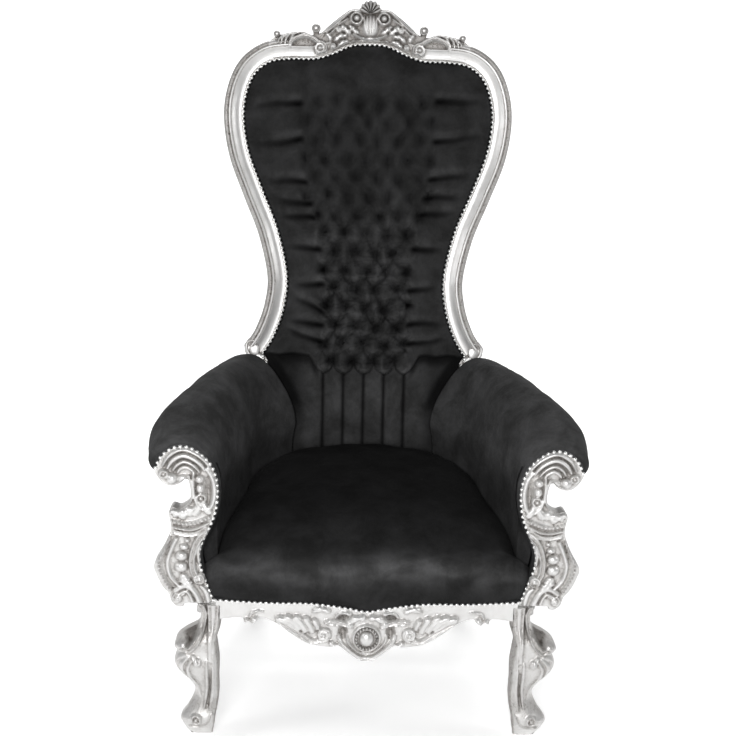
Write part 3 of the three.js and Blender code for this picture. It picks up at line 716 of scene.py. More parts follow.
def silver_leaf():
    """Silver leaf under a thin glaze: bright on the crowns, grey-brown in hollows and in fine worn lines,
    and darker still where a piece stores painted shade.
    """
    paint = Paint("silver_leaf")
    # patina_and_shade holds the glaze in hollows and, on some pieces, painted shade
    patina_and_shade = paint.stored("patina_and_shade")
    cloud = paint.noise(30, 8, Roughness=0.62)
    grain = paint.noise(340, 4)
    thin = paint.calc("COMPARE", paint.noise(75, 3, Distortion=0.7), 0.5, 0.016)
    lines = paint.calc("MULTIPLY", thin, patina_and_shade)
    glaze = paint.calc("MULTIPLY_ADD", lines, 1.3, patina_and_shade)
    worn = paint.calc("MULTIPLY_ADD", cloud, 0.30, glaze)
    bright, dull, dark = (0.68, 0.675, 0.668, 1), (0.43, 0.415, 0.40, 1), (0.11, 0.098, 0.088, 1)
    return paint.finish({
        "Base Color": paint.ramp(worn, (0.12, bright), (0.95, dark), (0.42, dull)),
        "Roughness": paint.spread(worn, 0.36, 0.62, 0.05, 0.7),
        "Normal": paint.bump(cloud, 0.25, 0.003, Normal=paint.bump(grain, 0.35, 0.0008)),
        "Metallic": 0.65,
    })


def black_velvet():
    """Black velvet: near black where a piece stores painted shade as fold, and lighter where it stores
    painted highlight and lighter nap.
    """
    paint = Paint("black_velvet")
    nap = paint.noise(13, 9, Roughness=0.68, Distortion=0.25)
    pile = paint.noise(700, 2)
    # The lighter ramp is the colour for painted highlight and lighter nap
    plain, nap_and_highlight = (
        paint.ramp(nap, (0.38, (dark, dark, dark, 1)), (0.66, (light, light, 1.02 * light, 1)))
        for dark, light in ((0.010, 0.021), (0.035, 0.078))
    )
    highlit = paint.mix(paint.stored("nap_and_highlight"), plain, nap_and_highlight)
    # fold is painted shade: it takes the velvet to near black
    return paint.finish({
        "Base Color": paint.mix(paint.stored("fold"), highlit, (0.0008, 0.0008, 0.0009, 1)),
        "Normal": paint.bump(pile, 0.35, 0.0006, Normal=paint.bump(nap, 0.6, 0.012)),
        "Roughness": 0.8,
        "Specular IOR Level": 0.06,
        "Sheen Weight": 0.012,
        "Sheen Roughness": 0.45,
    })


def nail_metal():
    paint = Paint("nail_heads")
    return paint.finish({
        "Base Color": (0.86, 0.86, 0.85, 1),
        "Roughness": paint.spread(paint.noise(300, 2), 0.18, 0.40),
        "Metallic": 0.95,
    })


def pale_floor():
    return Paint("pale_floor").finish({
        "Base Color": (0.93, 0.93, 0.93, 1),
        "Roughness": 0.7,
        "Specular IOR Level": 0.1,
        "Emission Color": (1, 1, 1, 1),
        "Emission Strength": 0.38,
    })


# A finish is a material and the slot that it fills
SILVER = silver_leaf(), "silver_leaf"
VELVET = black_velvet(), "black_velvet"
NAIL = nail_metal(), "nail_heads"


# Back frame
OPENING = catmull(both_sides(BACK_OPENING), OPENING_SPAN)
OPENING_SIDE = left_normals(OPENING)
OPENING_MIDDLE = OPENING_SPAN * (len(BACK_OPENING) - 1)


def opening_part(start, end, step=4.0):
    """Stretch of the velvet's edge, counted in controls from the middle, with its outward directions."""
    first, last = (int(round(OPENING_MIDDLE + OPENING_SPAN * k)) for k in (start, end))
    count = math.ceil(lengths(OPENING[first:last + 1])[-1] / step) + 1
    places, index = np.linspace(first, last, count), np.arange(len(OPENING))
    return [resample(part, index, places) for part in (OPENING, OPENING_SIDE)]


def moulding(skins, stretch, profile):
    path, side = stretch
    rows = [lifted(path + side * v, t) for v, t in profile]
    skins.tube(np.stack(rows, axis=1))


def sunk_ground(skins, face, glaze):
    """Glaze on the points at the front of a carving that lie no higher than its face."""
    out = skins.array()[:, 2]
    return np.where((out < face + 0.5) & (out > face - 20), glaze, 0.0)


def crest_half():
    """Carving on the right half of the crest, from the stile inward."""
    carve = Skins()
    face = CREST_FACE
    for spine, width in (
        ([(184, 848), (203, 836), (212, 806)], 5), ([(200, 848), (217, 833), (223, 806)], 5),
        ([(215, 844), (228, 830), (233, 809)], 4.5), ([(227, 838), (237, 827), (241, 814)], 4),
    ):
        strip(carve, spine, taper(0.8 * width, width), pinched(13, 0.5), face)
    strip(carve, [(150, 847), (172, 850), (200, 848), (230, 837)], pinched(4.6, 0.5), 12, face)
    c_scroll = [(210, 808), (205, 822), (190, 833), (167, 838), (147, 831)]
    volute(carve, c_scroll, (130, 807), 20, 75, 1.35, 5.5, 10, face + 4, pearl=0.36)
    s_scroll = [(22, 908), (46, 911), (66, 900), (90, 878), (112, 858), (130, 850)]
    strip(carve, s_scroll, pinched(9.5, 0.55), 10, face, COVE)
    strip(carve, [(56, 888), (78, 872), (98, 852), (114, 838)], pinched(3, 0.4), 8, face)
    for eye, radius, start in (((97, 813), 9, 60), ((81, 857), 9, 200)):
        volute(carve, [], eye, radius, start, 1.1, 3.4, 9, face + 3, pearl=0.45)
    for spine, width, height, lobes, rise in (
        ([(84, 806), (74, 820), (56, 828)], 8, 12, 3, 2), ([(62, 812), (46, 822), (28, 826)], 7, 12, 3, 2),
        ([(40, 818), (24, 824), (8, 824)], 6, 12, 2, 2), ([(92, 826), (80, 838), (60, 842)], 8, 11, 3, 0),
        ([(50, 846), (64, 856), (76, 868)], 9, 12, 3, 0), ([(30, 846), (42, 855), (56, 868)], 8, 13, 3, 0),
        ([(104, 826), (106, 838), (116, 846)], 7, 10, 2, 0),
    ):
        leaf(carve, spine, width, height, lobes, face + rise)
    rosette(carve, (36, 886), 14, 4, 12, 9, 18, face)
    return carve


def crest_ground(carve):
    """The crest's face: the stile's cove runs in from both sides and dies out under the carving."""
    raised = relief(carve, CREST_FACE)
    offsets, heights = zip(*STILE_PROFILE[3:12])

    def ground(u, w):
        side = np.abs(u)
        away = nearest_gap(u, w, OPENING[::4])
        cove = np.interp(away, offsets, heights) - CREST_FACE
        cove = np.where(away < 36, cove, 0.0) * smoothstep((side - 96) / 30)
        cove = np.where(side > 214, -1.5, cove)
        return np.maximum(raised(u, w), cove)

    return ground


def crest_shield(carve):
    """The ribbed oval in the middle of the crest, with the rim that runs under it."""
    dome(carve, (0, 866), 21, 31, 13, CREST_FACE, 32, 10)
    for u, height in ((0, 16), (-8, 15), (8, 15), (-15, 11), (15, 11)):
        strip(carve, [(1.1 * u, 894), (u, 868), (0.5 * u, 842)], pinched(3.2, 0.4), height, CREST_FACE)
    rim = [(-46, 846), (-26, 837), (0, 833), (26, 837), (46, 846)]
    strip(carve, rim, pinched(3.6, 0.5), 14, CREST_FACE)


def crest_mouldings(skins):
    """The stile's moulding on both wings, and its inner fillet under the carving between them."""
    back = 0.6 - FRAME_DEPTH
    fillet = [(0, back)] + STILE_PROFILE[1:5] + [(12, 2.6), (12, back)]
    moulding(skins, opening_part(-CREST_WING, CREST_WING), fillet)
    whole = [(0, back)] + STILE_PROFILE[1:-1] + [(STILE_WIDTH, back)]
    for start, end in ((-CREST_JOINT, -CREST_WING), (CREST_WING, CREST_JOINT)):
        moulding(skins, opening_part(start, end), whole)


def crest_bud(skins, u, w, radius):
    """A ball on a short stalk, with a ring on its face."""
    board(skins, oval((u, w - 8), 0.65 * radius, radius)[:-1], -16, CREST_FACE, 2.5, 2.0)
    ball(skins, (u, w), radius, CREST_FACE)
    band(skins, oval((u, w), 0.55 * radius, 0.55 * radius), 1.6, 0.95 * radius, CREST_FACE)


def crest_piece():
    skins = Skins()
    carve = crest_half()
    carve.mirror()
    crest_shield(carve)
    crest_mouldings(skins)
    edge, side = opening_part(-CREST_JOINT, CREST_JOINT)
    end = edge[-1] + side[-1] * (STILE_WIDTH - 2)
    top = catmull([tuple(end)] + CREST_TOP, 6)
    outline = np.vstack([edge + side * 10.5, top, top[::-1] * (-1, 1)])
    board(skins, outline, -FRAME_DEPTH, CREST_FACE, 1.5, 1.7, crest_ground(carve))
    for sign in (-1, 1):
        crest_bud(skins, sign * 141, 859, 12)
        crest_bud(skins, sign * 243, 842, 9)
    middle = (0, 897)
    board(skins, oval(middle, 25, 25)[:-1], 1 - FRAME_DEPTH, CREST_FACE)
    shell(skins, middle, 36, 7, 150, 14, CREST_FACE)
    u, w, _ = skins.array().T
    away = nearest_gap(u, w, OPENING[::4])
    open_ground = (np.abs(u) < 206) & (away > 10.6 + 25 * (np.abs(u) > 112))
    sunk = sunk_ground(skins, CREST_FACE, 0.36) * open_ground
    make_piece("crest_rail_piece", skins.place(on_back), SILVER, "crest_rail", tone=1.0, sunk=sunk)


def rear_leg(skins):
    """The post below the arm, running down and back to the floor, with eased edges."""
    ease = 4.0
    tops = [on_back(0, POST_BEND, t)[1:] for t in (PAD_FRONT, POST_BACK)]
    edges = REAR_LEG_FRONT, REAR_LEG_BACK
    front, rear = (catmull([top] + edge, 10) for top, edge in zip(tops, edges))
    rows = []
    for a, b in zip(front, rear):
        sides = (POST_INNER, a), (POST_OUTER, a), (POST_OUTER, b), (POST_INNER, b)
        ring = np.array([(x, *yz) for x, yz in sides])
        eased = []
        for k in range(4):
            for other in (ring[k - 1], ring[(k + 1) % 4]):
                d = other - ring[k]
                eased.append(ring[k] + d / np.linalg.norm(d) * ease)
        rows.append(eased)
    skins.tube(np.array(rows))


def outer_band_shade(points):
    """Painted shade on the outermost member of the back's moulding, where it slopes away from the light."""
    away = nearest_gap(points[:, 0], points[:, 1], OPENING[::4])
    return 0.22 * smoothstep((away - 42.5) / 2) * (points[:, 2] > -20) * (points[:, 1] > 30)


def back_posts():
    skins = Skins()
    moulding(skins, opening_part(CREST_JOINT, len(BACK_OPENING) - 1), STILE_PROFILE)
    board(skins, STILE_FOOT, -FRAME_DEPTH, 11, 5, 3)
    strip(skins, [(291, 40), (307, 38), (313, 24), (308, 8), (296, -4)], 3.6, 4, 10)
    dome(skins, (292, 16), 14, 17, 3.5, 10)
    lap = [
        (273, 45), (273, 6), (266.3, 3.2), (POST_INNER, -12.4), (POST_INNER, -18), (POST_OUTER, -18),
        (POST_OUTER, 45),
    ]
    board(skins, lap, POST_BACK, -2, 1.5, 5)
    upper = [(POST_INNER, POST_BEND), (POST_OUTER, POST_BEND), (POST_OUTER, -13), (POST_INNER, -13)]
    board(skins, upper, POST_BACK, PAD_FRONT, 2, 8)
    # Painted shade on the moulding's outer member; the rear leg below gets none
    glaze = outer_band_shade(skins.array())
    rear_leg(skins.place(on_back))
    glaze = np.concatenate([glaze, np.zeros(skins.count - len(glaze))])
    make_pair("back_post", skins, SILVER, tone=0.8, sunk=glaze)


# Seat frame
def side_rails():
    skins = Skins()
    ends = []
    for inner, outer, y in SIDE_RAIL_ENDS:
        profile = [
            (inner, RAIL_LOW), (outer - 4, RAIL_LOW), (outer, 294), (outer, 306), (outer - 3, 310),
            (outer - 3, 340), (outer, 344), (outer, 354), (outer - 3, RAIL_TOP), (inner, RAIL_TOP),
        ]
        ends.append([(x, y, z) for x, z in profile])
    first, last = np.array(ends, float)
    skins.tube(np.stack([first + (last - first) * f for f in np.linspace(0, 1, 60)]))
    make_pair("side_rail", skins, SILVER, tone=0.7)


def back_rail():
    skins = Skins()
    half = POST_INNER - FIT_GAP
    profile = [(192, RAIL_LOW), (233, RAIL_LOW), (236, 293), (236, 335), (233, 338), (192, 338)]
    rows = [[(x, y, z) for y, z in profile] for x in np.linspace(-half, half, 60)]
    skins.tube(np.array(rows, float))
    make_piece("back_rail_piece", skins, SILVER, "back_rail", tone=1.0)


def apron_half():
    """Carving on the right half of the apron, from the leg inward."""
    carve = Skins()
    dome(carve, (271, 304), 8, 8, 9)
    dome(carve, (252, 306), 10, 10, 12)
    strip(carve, [(264, 312), (259, 323), (246, 328), (232, 327)], taper(3.6, 1.6), 6)
    rim = [(205, 304), (176, 290), (150, 274), (124, 257)]
    volute(carve, rim, (97, 273), 18, 258, -1.4, 5.5, 10, pearl=0.38)
    strip(carve, [(196, 294), (166, 274), (140, 256), (116, 248)], pinched(3, 0.4), 6)
    for spine, width in (
        ([(164, 290), (184, 306), (206, 313)], 9), ([(150, 284), (166, 304), (186, 317)], 10),
        ([(136, 278), (148, 300), (164, 318)], 10), ([(122, 276), (130, 298), (142, 316)], 9),
        ([(110, 284), (114, 298), (122, 311)], 7),
    ):
        leaf(carve, spine, width, 12, 1, 0, 0.5, 0.0)
    strip(carve, [(96, 302), (74, 302), (50, 298), (30, 292)], pinched(6.5, 0.5), 11, 0, COVE)
    strip(carve, [(0, 213), (18, 217), (40, 234), (58, 252), (64, 272)], taper(6, 4), 10, 0, COVE)
    strip(carve, [(0, 226), (16, 229), (32, 242), (42, 256), (46, 272)], taper(3.4, 2.6), 7)
    volute(carve, [(34, 292)], (40, 300), 9, 200, -1.0, 3.4, 9, pearl=0.4)
    for spine, width, height in (
        ([(62, 246), (74, 246), (84, 256)], 7, 10), ([(124, 326), (106, 334), (82, 327)], 8, 10),
        ([(44, 300), (26, 312), (2, 314)], 9, 12), ([(72, 312), (54, 322), (34, 322)], 7, 9),
    ):
        leaf(carve, spine, width, height, 2)
    return carve


def front_rail():
    skins = Skins()
    carve = apron_half()
    carve.mirror()
    band(carve, oval(CABOCHON, 29, 30), 3.8, 8)
    dome(carve, CABOCHON, 28, 28, 5, 0, 36, 4)
    raised = relief(carve)

    def ground(u, w):
        hollows = ((57, 315, 13, 8), (54, 277, 9, 14))
        sunk = sum(13 * bell(np.abs(u) - x, wide) * bell(w - y, tall) for x, y, wide, tall in hollows)
        return raised(u, w) - sunk

    ends = np.array([(APRON_TOP[-1][0], SPLIT_Z), (APRON_LEG_END, SPLIT_Z)])
    top, low = catmull(both_sides(APRON_TOP), 10), catmull(both_sides(APRON_LOW), 6)
    outline = np.vstack([top, ends, low[::-1], ends[::-1] * (-1, 1)])
    board(skins, outline, APRON_Y - BOARD_BACK_Y + 4, 0, 2.0, 1.8, ground)
    dome(skins, CABOCHON, 18, 19.5, 17, 0, 36, 12)
    pearls(skins, oval(CABOCHON, 23.5, 24.5), 7.4, 3.7, 13)
    low = sunk_ground(skins, -3, 0.25)
    make_piece("front_rail_piece", skins.place(on_front(APRON_Y)), SILVER, "front_rail", tone=0.55, sunk=low)


LEG_TABLE = catmull(LEG_STATIONS, 10)


def leg_carving():
    """Relief on the front of the right leg: the C-scroll, the knee leaf, reeds and the toe's ring."""
    carve = Skins()
    volute(carve, LEG_C_SCROLL, LEG_CUP, 17, 225, 0.95, 7, 12, pearl=0.36)
    for path, width in (
        ([(402, 224), (432, 206), (428, 176), (402, 146), (393, 118)], 7),
        ([(398, 220), (416, 200), (412, 172), (392, 142), (385, 112)], 6),
        ([(390, 214), (402, 194), (398, 168), (383, 138), (377, 108)], 5),
    ):
        strip(carve, path, pinched(width, 0.35), pinched(7, 0.3))
    volute(carve, [(392, 222)], (382, 206), 10, 60, 1.1, 4, 7, pearl=0.42)
    strip(carve, [(345, 345), (346, 304), (349, 252), (351, 206)], taper(16, 5), taper(15, 4), 0, REEDS)
    strip(carve, [(341, 266), (343, 228), (345, 194)], pinched(5, 0.2), pinched(9, 0.1))
    strip(carve, [(345, 196), (346, 140), (355, 78)], pinched(6, 0.4), pinched(10, 0.1))
    strip(carve, [(360, 212), (360, 140), (368, 82)], pinched(4.6, 0.4), pinched(8, 0.1))
    rosette(carve, (386, 58), 10, 3.4, 7, 6, 7)
    strip(carve, [(348, 70), (356, 44), (380, 34), (404, 36)], pinched(5, 0.4), 6)
    return carve


def leg_hollow(x, z):
    """Where the leg is cut back behind its C-scroll, from 0 to 1; the cup stands clear of it."""
    path = catmull(LEG_C_SCROLL, 10)[::-1]
    line = np.interp(z, path[:, 1], path[:, 0])
    cup = np.hypot(x - LEG_CUP[0], z - LEG_CUP[1])
    return smoothstep((x - line - 5) / 9) * smoothstep((z - 242) / 14) * smoothstep((cup - 14) / 7)


def leg_ring(z, x, y, inner):
    """The leg's outline at one height, with eased corners and its points evenly spaced."""
    c = 0.16 * min(x, y)
    eased = c * (1 - 0.85 * smoothstep((z - 270) / 35))
    bevel = c * (2 - 1.3 * bell(z - 246, 18))
    rear = [(inner, inner), (x - c, inner), (x, inner + c)]
    ring = np.array(rear + [(x, y - bevel), (x - bevel, y), (inner + eased, y), (inner, y - eased)])
    for _ in range(2):
        after = np.roll(ring, -1, axis=0)
        ring = np.stack([0.8 * ring + 0.2 * after, 0.2 * ring + 0.8 * after], axis=1).reshape(-1, 2)
    closed = np.vstack([ring, ring[:1]])
    return even(closed, lengths(closed)[-1] / LEG_AROUND)[:LEG_AROUND]


def front_legs():
    raised = relief(leg_carving())
    rows, glaze = [], []
    for z in np.concatenate([[0, 1.5], np.arange(4, LEG_TOP - 1, 2.0), [LEG_TOP]]):
        x, y, inner = (np.interp(z, LEG_TABLE[:, 0], LEG_TABLE[:, k]) for k in (1, 2, 3))
        if z == 0:
            x, y, inner = x - 2, y - 2, inner + 2
        ring = leg_ring(z, x, y, inner)
        across, level = LEG_X + ring[:, 0], np.full(LEG_AROUND, z)
        front = smoothstep((ring[:, 1] - 0.45 * y) / (0.4 * y))
        hollow = front * leg_hollow(across, level)
        ahead = ring[:, 1] + front * raised(across, level) - 16 * hollow
        rows.append(np.column_stack([across, LEG_Y - ahead, level]))
        # Glaze with painted shade: in the hollow behind the C-scroll, on the inner face that turns away, and
        # on two bands where the surface faces up, to tone down their highlights
        painted_inner_shade = smoothstep((inner + 5 - ring[:, 0]) / 5) * (z < 322)
        painted_slope_shade = 0.12 * bell(z - 88, 18) + 0.15 * bell(z - 275, 16)
        glaze.append(0.05 + 0.45 * hollow + 0.35 * painted_inner_shade + painted_slope_shade)
    skins, stub = Skins(), Skins()
    skins.tube(np.stack(rows))
    board(stub, [(LEG_X, 330), (392, 330), (392, RAIL_TOP), (LEG_X, RAIL_TOP)], 0, 16, 1, 8)
    skins.join(stub.place(on_front(LEG_Y)))
    make_pair("front_leg", skins, SILVER, tone=0.9, sunk=np.concatenate(glaze + [np.zeros(stub.count)]))


def facing_upper(carve):
    """The scrolled head of the arm support and the panel under it."""
    crescent = smooth_path([(459, 652), (443, 682), (414, 699), (384, 690), (359, 668), (345, 636)])
    middle = np.array([404, 636])
    for scale, width, height in ((1.0, 5, 9), (0.8, 6.5, 12), (0.57, 5, 9), (0.38, 5, 8)):
        arc = middle + (crescent[4:-10] - middle) * scale
        band(carve, even(arc, 2.0), pinched(width, 0.4), height)
    rosette(carve, (453, 643), 8, 3.4, 10, 5, 10)
    dome(carve, (435, 633), 13, 13, 14)
    dome(carve, (412, 633), 14, 9, 9)
    strip(carve, [(402, 640), (394, 606), (400, 580), (420, 564)], 6.5, 10, 0, COVE)
    strip(carve, [(388, 648), (389, 620), (387, 596), (380, 574), (366, 560)], pinched(4.5, 0.6), 10)
    strip(carve, [(362, 660), (347, 636), (342, 604), (348, 574), (362, 556)], pinched(6.5, 0.6), 10)
    dome(carve, (375, 632), 11, 10, 12)
    dome(carve, (374, 611), 10, 12, 11)
    rosette(carve, (372, 588), 9.5, 3.4, 9, 6, 9)
    leaf(carve, [(372, 580), (379, 564), (390, 548)], 10, 10, 1, 0, 0.3, 0.0)
    leaf(carve, [(369, 580), (362, 566), (350, 552)], 9, 10, 1, 0, 0.3, 0.0)
    leaf(carve, [(388, 562), (412, 553), (441, 561)], 15, 10, 4, 0, 0.5)
    strip(carve, [(441, 566), (426, 550), (404, 552), (386, 567)], pinched(4, 0.4), 9)


def facing_lower(carve):
    """The waist bands, the panel of husks and the scroll that runs down into the leg."""
    waist = smooth_path([(438, 534), (412, 528), (388, 529), (354, 543)])
    band(carve, waist, 6, 3)
    pearls(carve, waist, 9, 4.4, 9)
    strip(carve, [(436, 521), (410, 515), (386, 516), (356, 530)], 3.4, 8)
    strip(carve, [(434, 509), (406, 503), (384, 505), (358, 519)], 5.5, 7, 0, COVE)
    for at, across, up, height in (
        ((403, 489), 6, 6, 8), ((410, 474), 11, 8, 10), ((416, 453), 15, 12, 13),
        ((417, 427), 15.5, 13.5, 13), ((412, 405), 10, 8, 9),
    ):
        dome(carve, at, across, up, height)
    leaf(carve, [(412, 406), (408, 392), (394, 376)], 16, 10, 3)
    strip(carve, [(426, 496), (437, 472), (447, 438), (440, 404), (420, 380)], 5, 9)
    beaded = smooth_path([(443, 496), (455, 466), (466, 434), (459, 404), (442, 374)])
    band(carve, beaded, 7, 4)
    pearls(carve, beaded, 9.5, 4.0, 12)
    inner_scroll = [(356, 512), (380, 488), (392, 452), (391, 420)]
    volute(carve, inner_scroll, (376, 400), 15, 25, -1.2, 7, 11, pearl=0.42)
    strip(carve, [(372, 490), (379, 462), (378, 436)], pinched(5, 0.4), 7)
    strip(carve, [(434, 368), (410, 382), (390, 371), (374, 338)], 7, 10)
    strip(carve, [(426, 360), (409, 369), (398, 360), (390, 338)], 4.5, 8)
    strip(carve, [(376, 384), (362, 368), (356, 340)], pinched(7, 0.5), 8)
    volute(carve, [(410, 366)], (426, 352), 13, 120, -1.1, 4.5, 9, pearl=0.42)


def arm_supports():
    skins, carve = Skins(), Skins()
    facing_upper(carve)
    facing_lower(carve)
    raised = relief(carve)

    def ground(u, w):
        return raised(u, w) - 7 * bell(u - 356, 7) * bell(w - 608, 24)

    outline = catmull(FACING_INNER + FACING_OUTER + [(342, SPLIT_Z)], 6)
    board(skins, outline, FACING_Y - BOARD_BACK_Y, 0, 1.2, 1.7, ground)
    low = sunk_ground(skins, -1.5, 0.2)
    make_pair("arm_support", skins.place(on_front(FACING_Y)), SILVER, tone=1.0, sunk=low)


# Upholstery
FACING_EDGE = smooth_path(FACING_INNER)
RAIL_EDGE = catmull(both_sides(APRON_TOP), 12)


def crumple(a, b, seed, shortest, longest, waves=14):
    """Small random wrinkles, as a sum of waves of the given lengths; about -1 to 1."""
    chance = np.random.default_rng(seed)
    total = np.zeros(np.shape(a))
    for _ in range(waves):
        turn = chance.uniform(0, math.pi)
        size = chance.uniform(shortest, longest)
        reach = 2 * math.pi / size
        total = total + np.sin(reach * (a * math.cos(turn) + b * math.sin(turn)) + chance.uniform(0, 6.3))
    return total / math.sqrt(waves)


def creased(a, b, seed, shortest, longest):
    """Narrow grooves where a random wave field crosses zero; 0 to 1."""
    return bell(crumple(a, b, seed, shortest, longest), 0.22)


def arm_section(s):
    """Cross-section of the arm at share s from front to back, smooth through the given ones."""
    at, sections = ARM_SECTION_AT, ARM_SECTIONS
    slopes = np.gradient(sections, at, axis=0)
    k = min(int(np.searchsorted(at, s, "right")) - 1, len(at) - 2)
    step = at[k + 1] - at[k]
    f = (s - at[k]) / step
    lean = slopes[k] * (f * (1 - f) ** 2) - slopes[k + 1] * (f * f * (1 - f))
    return sections[k] + (sections[k + 1] - sections[k]) * smoothstep(f) + lean * step


def round_section(s):
    section = arm_section(s)
    closed = catmull(np.vstack([section, section[:1]]), 12)
    return even(closed, lengths(closed)[-1] / ARM_AROUND)[:ARM_AROUND]


def depth_at(s, z):
    """Depth of a point on the seat or arm, at share s of the way to the back."""
    return ARM_FRONT_Y + (back_plane_y(ARM_REAR_T, z) - ARM_FRONT_Y) * s


TURNED_EDGE = [(-1.4, -36), (-1.3, -2), (-1.1, 0.4), (-0.8, 1), (0, 1), (0.2, 0.5), (0.2, 0)]


def ribbon(skins, edge, side, where):
    """The velvet's turned edge under a row of nail heads; side is 1 where the frame lies left, else -1."""
    turned = Skins()
    shape = [(side * across, up) for across, up in TURNED_EDGE]
    band(turned, edge + left_normals(edge) * side * NAIL_LINE, 5.0, 1.0, shape=shape)
    skins.join(turned.place(where))


def turned_front():
    """Rows of the arm's cover where it turns over the front onto the arm support, from the nails back."""
    first = round_section(0.0)
    nearest = np.sqrt(((first[:, None] - FACING_EDGE[None]) ** 2).sum(axis=2)).argmin(axis=1)
    outside = ~inside(first, np.array(FACING_INNER + FACING_OUTER, float))
    reach = (first[:, 1] > 560) & outside & ((first[:, 1] > 668) | (first[:, 0] < 420))
    weight = np.convolve(np.pad(reach.astype(float), 6, mode="wrap"), np.ones(13) / 13, "valid")
    rows = []
    for f in (1.0, 0.8, 0.6, 0.4, 0.2):
        fold = 1 - math.cos(f * math.pi / 2)
        ahead = 35 * math.sin(f * math.pi / 2)
        flat = first + (FACING_EDGE[nearest] - first) * (fold * weight)[:, None]
        rows.append(np.column_stack([flat[:, 0], ARM_FRONT_Y - ahead * weight, flat[:, 1]]))
    return rows


def arms():
    skins = Skins()
    rows = turned_front()
    for s in np.concatenate([np.linspace(0, 0.8, 60), np.linspace(0.81, 1, 24)]):
        x, z = round_section(s).T
        rows.append(np.column_stack([x, depth_at(s, z), z]))
    sheet = np.stack(rows)
    y, z = sheet[..., 1], sheet[..., 2]
    behind = smoothstep((y - ARM_FRONT_Y) / 40)
    near = bell(y + 250, 110) * smoothstep((690 - z) / 50) * behind
    sheet[..., 0] += 2.4 * near * creased(y + 0.5 * z, 0.35 * (z - y), 11, 30, 80)
    sheet[..., 2] += 1.2 * behind * crumple(y, sheet[..., 0], 12, 50, 140)
    skins.tube(sheet)
    ribbon(skins, FACING_EDGE, -1, on_front(FACING_Y))
    x, y, z = skins.array().T
    held = (z < 600) | (y < ARM_FRONT_Y + 20) | (y > back_plane_y(ARM_REAR_T, z) - 30)
    held[sheet.shape[0] * ARM_AROUND:] = True
    pair = make_pair("arm_upholstery", skins, VELVET, pad=0.8, crease=None, held=held)
    # Lighter velvet all over with a painted highlight along the front top lip, and painted shade on the
    # lower inner part of the arm
    lip = smoothstep((ARM_FRONT_Y + 60 - y) / 60) * smoothstep((z - 660) / 30)
    low = smoothstep((640 - z) / 90) * smoothstep((420 - x) / 40)
    for piece in pair:
        mark(piece, "nap_and_highlight", 0.72 + 0.28 * lip)
        mark(piece, "fold", 0.5 * low)


def seat_sheet(across):
    """Rows of the seat's cover, from the back forward and over the front roll down to the nails."""
    bulge = 1 - across**2
    edge = np.clip((np.abs(across) - 0.86) / 0.14, 0, 1) ** 2
    rows = []
    for s in np.linspace(1, 0.02, 76):
        side, crown = (np.interp(s, *zip(*table)) for table in (SEAT_SIDE, SEAT_CROWN))
        z = side + (crown - side) * bulge - (16 + 12 * smoothstep((0.3 - s) / 0.3)) * edge
        z = z - 18 * smoothstep((s - 0.9) / 0.1) ** 2
        half = arm_section(s)[0][0] - FIT_GAP
        rows.append(np.column_stack([across * half, depth_at(s, z), z]))
    side, crown = SEAT_SIDE[0][1], SEAT_CROWN[0][1]
    top = side + (crown - side) * bulge - 28 * edge
    low = np.interp(across * APRON_TOP[-1][0], RAIL_EDGE[:, 0], RAIL_EDGE[:, 1]) + FIT_GAP
    contour = FACING_EDGE[:170]
    between_arms = ARM_FRONT[0][0] - FIT_GAP
    for y, drop in catmull(FRONT_ROLL, 9):
        z = top + (low - top) * (drop / FRONT_ROLL[-1][1])
        limit = np.interp(z[0], contour[:, 1], contour[:, 0]) - 1.0
        half = between_arms + (limit - between_arms) * smoothstep(-y / 30)
        rows.append(np.column_stack([across * half, ARM_FRONT_Y + y + 8 * edge * smoothstep(-y / 40), z]))
    return np.stack(rows)


def seat():
    skins = Skins()
    across = np.linspace(-1, 1, SEAT_COLUMNS)
    sheet = seat_sheet(across)
    x, y, z = np.moveaxis(sheet, 2, 0)
    inner = smoothstep((1 - np.abs(across)) / 0.12) * smoothstep((z - 380) / 40)
    sheet[..., 2] += inner * (1.5 * crumple(x, y, 21, 60, 180) - 1.2 * creased(x, 1.4 * z, 22, 70, 190))
    under = sheet[:, ::-8].copy()
    under[..., 2] = np.minimum(under[..., 2] - 1, RAIL_TOP + 1)
    under[..., 0] = np.clip(under[..., 0], -SEAT_UNDER_HALF, SEAT_UNDER_HALF)
    under[..., 1] = np.maximum(under[..., 1], ARM_FRONT_Y - 30)
    closed = np.concatenate([sheet, under], axis=1)
    skins.tube(closed)
    ribbon(skins, even(RAIL_EDGE, 3), -1, on_front(APRON_Y))
    held = np.ones(closed.shape[:2], bool)
    held[6:-12, 5:SEAT_COLUMNS - 5] = False
    held = np.concatenate([held.ravel(), np.ones(skins.count - held.size, bool)])
    piece = make_piece("seat_upholstery_piece", skins, VELVET, "seat_upholstery", None, 0.85, held=held)
    x, y, z = skins.array().T
    # The front of the roll is lighter, with a painted highlight band across it that varies along its length
    ahead = smoothstep((ARM_FRONT_Y + 10 - y) / 40)
    level = bell(z - 421 - 6 * np.sin(x / 60), 27) * (1 - 0.5 * (np.abs(x) / 350) ** 3)
    level = level * np.clip(0.85 + 0.4 * crumple(x, 3 * z, 24, 70, 240), 0, 1)
    mark(piece, "nap_and_highlight", ahead * (0.15 + 0.85 * level))
    # Painted shade: darker towards the back of the seat, and a little on the front roll away from the
    # highlight band
    behind = 0.5 * smoothstep((y - ARM_FRONT_Y) / 200) + 0.8 * smoothstep((y - 60) / 130)
    mark(piece, "fold", behind + 0.15 * ahead * (1 - level))


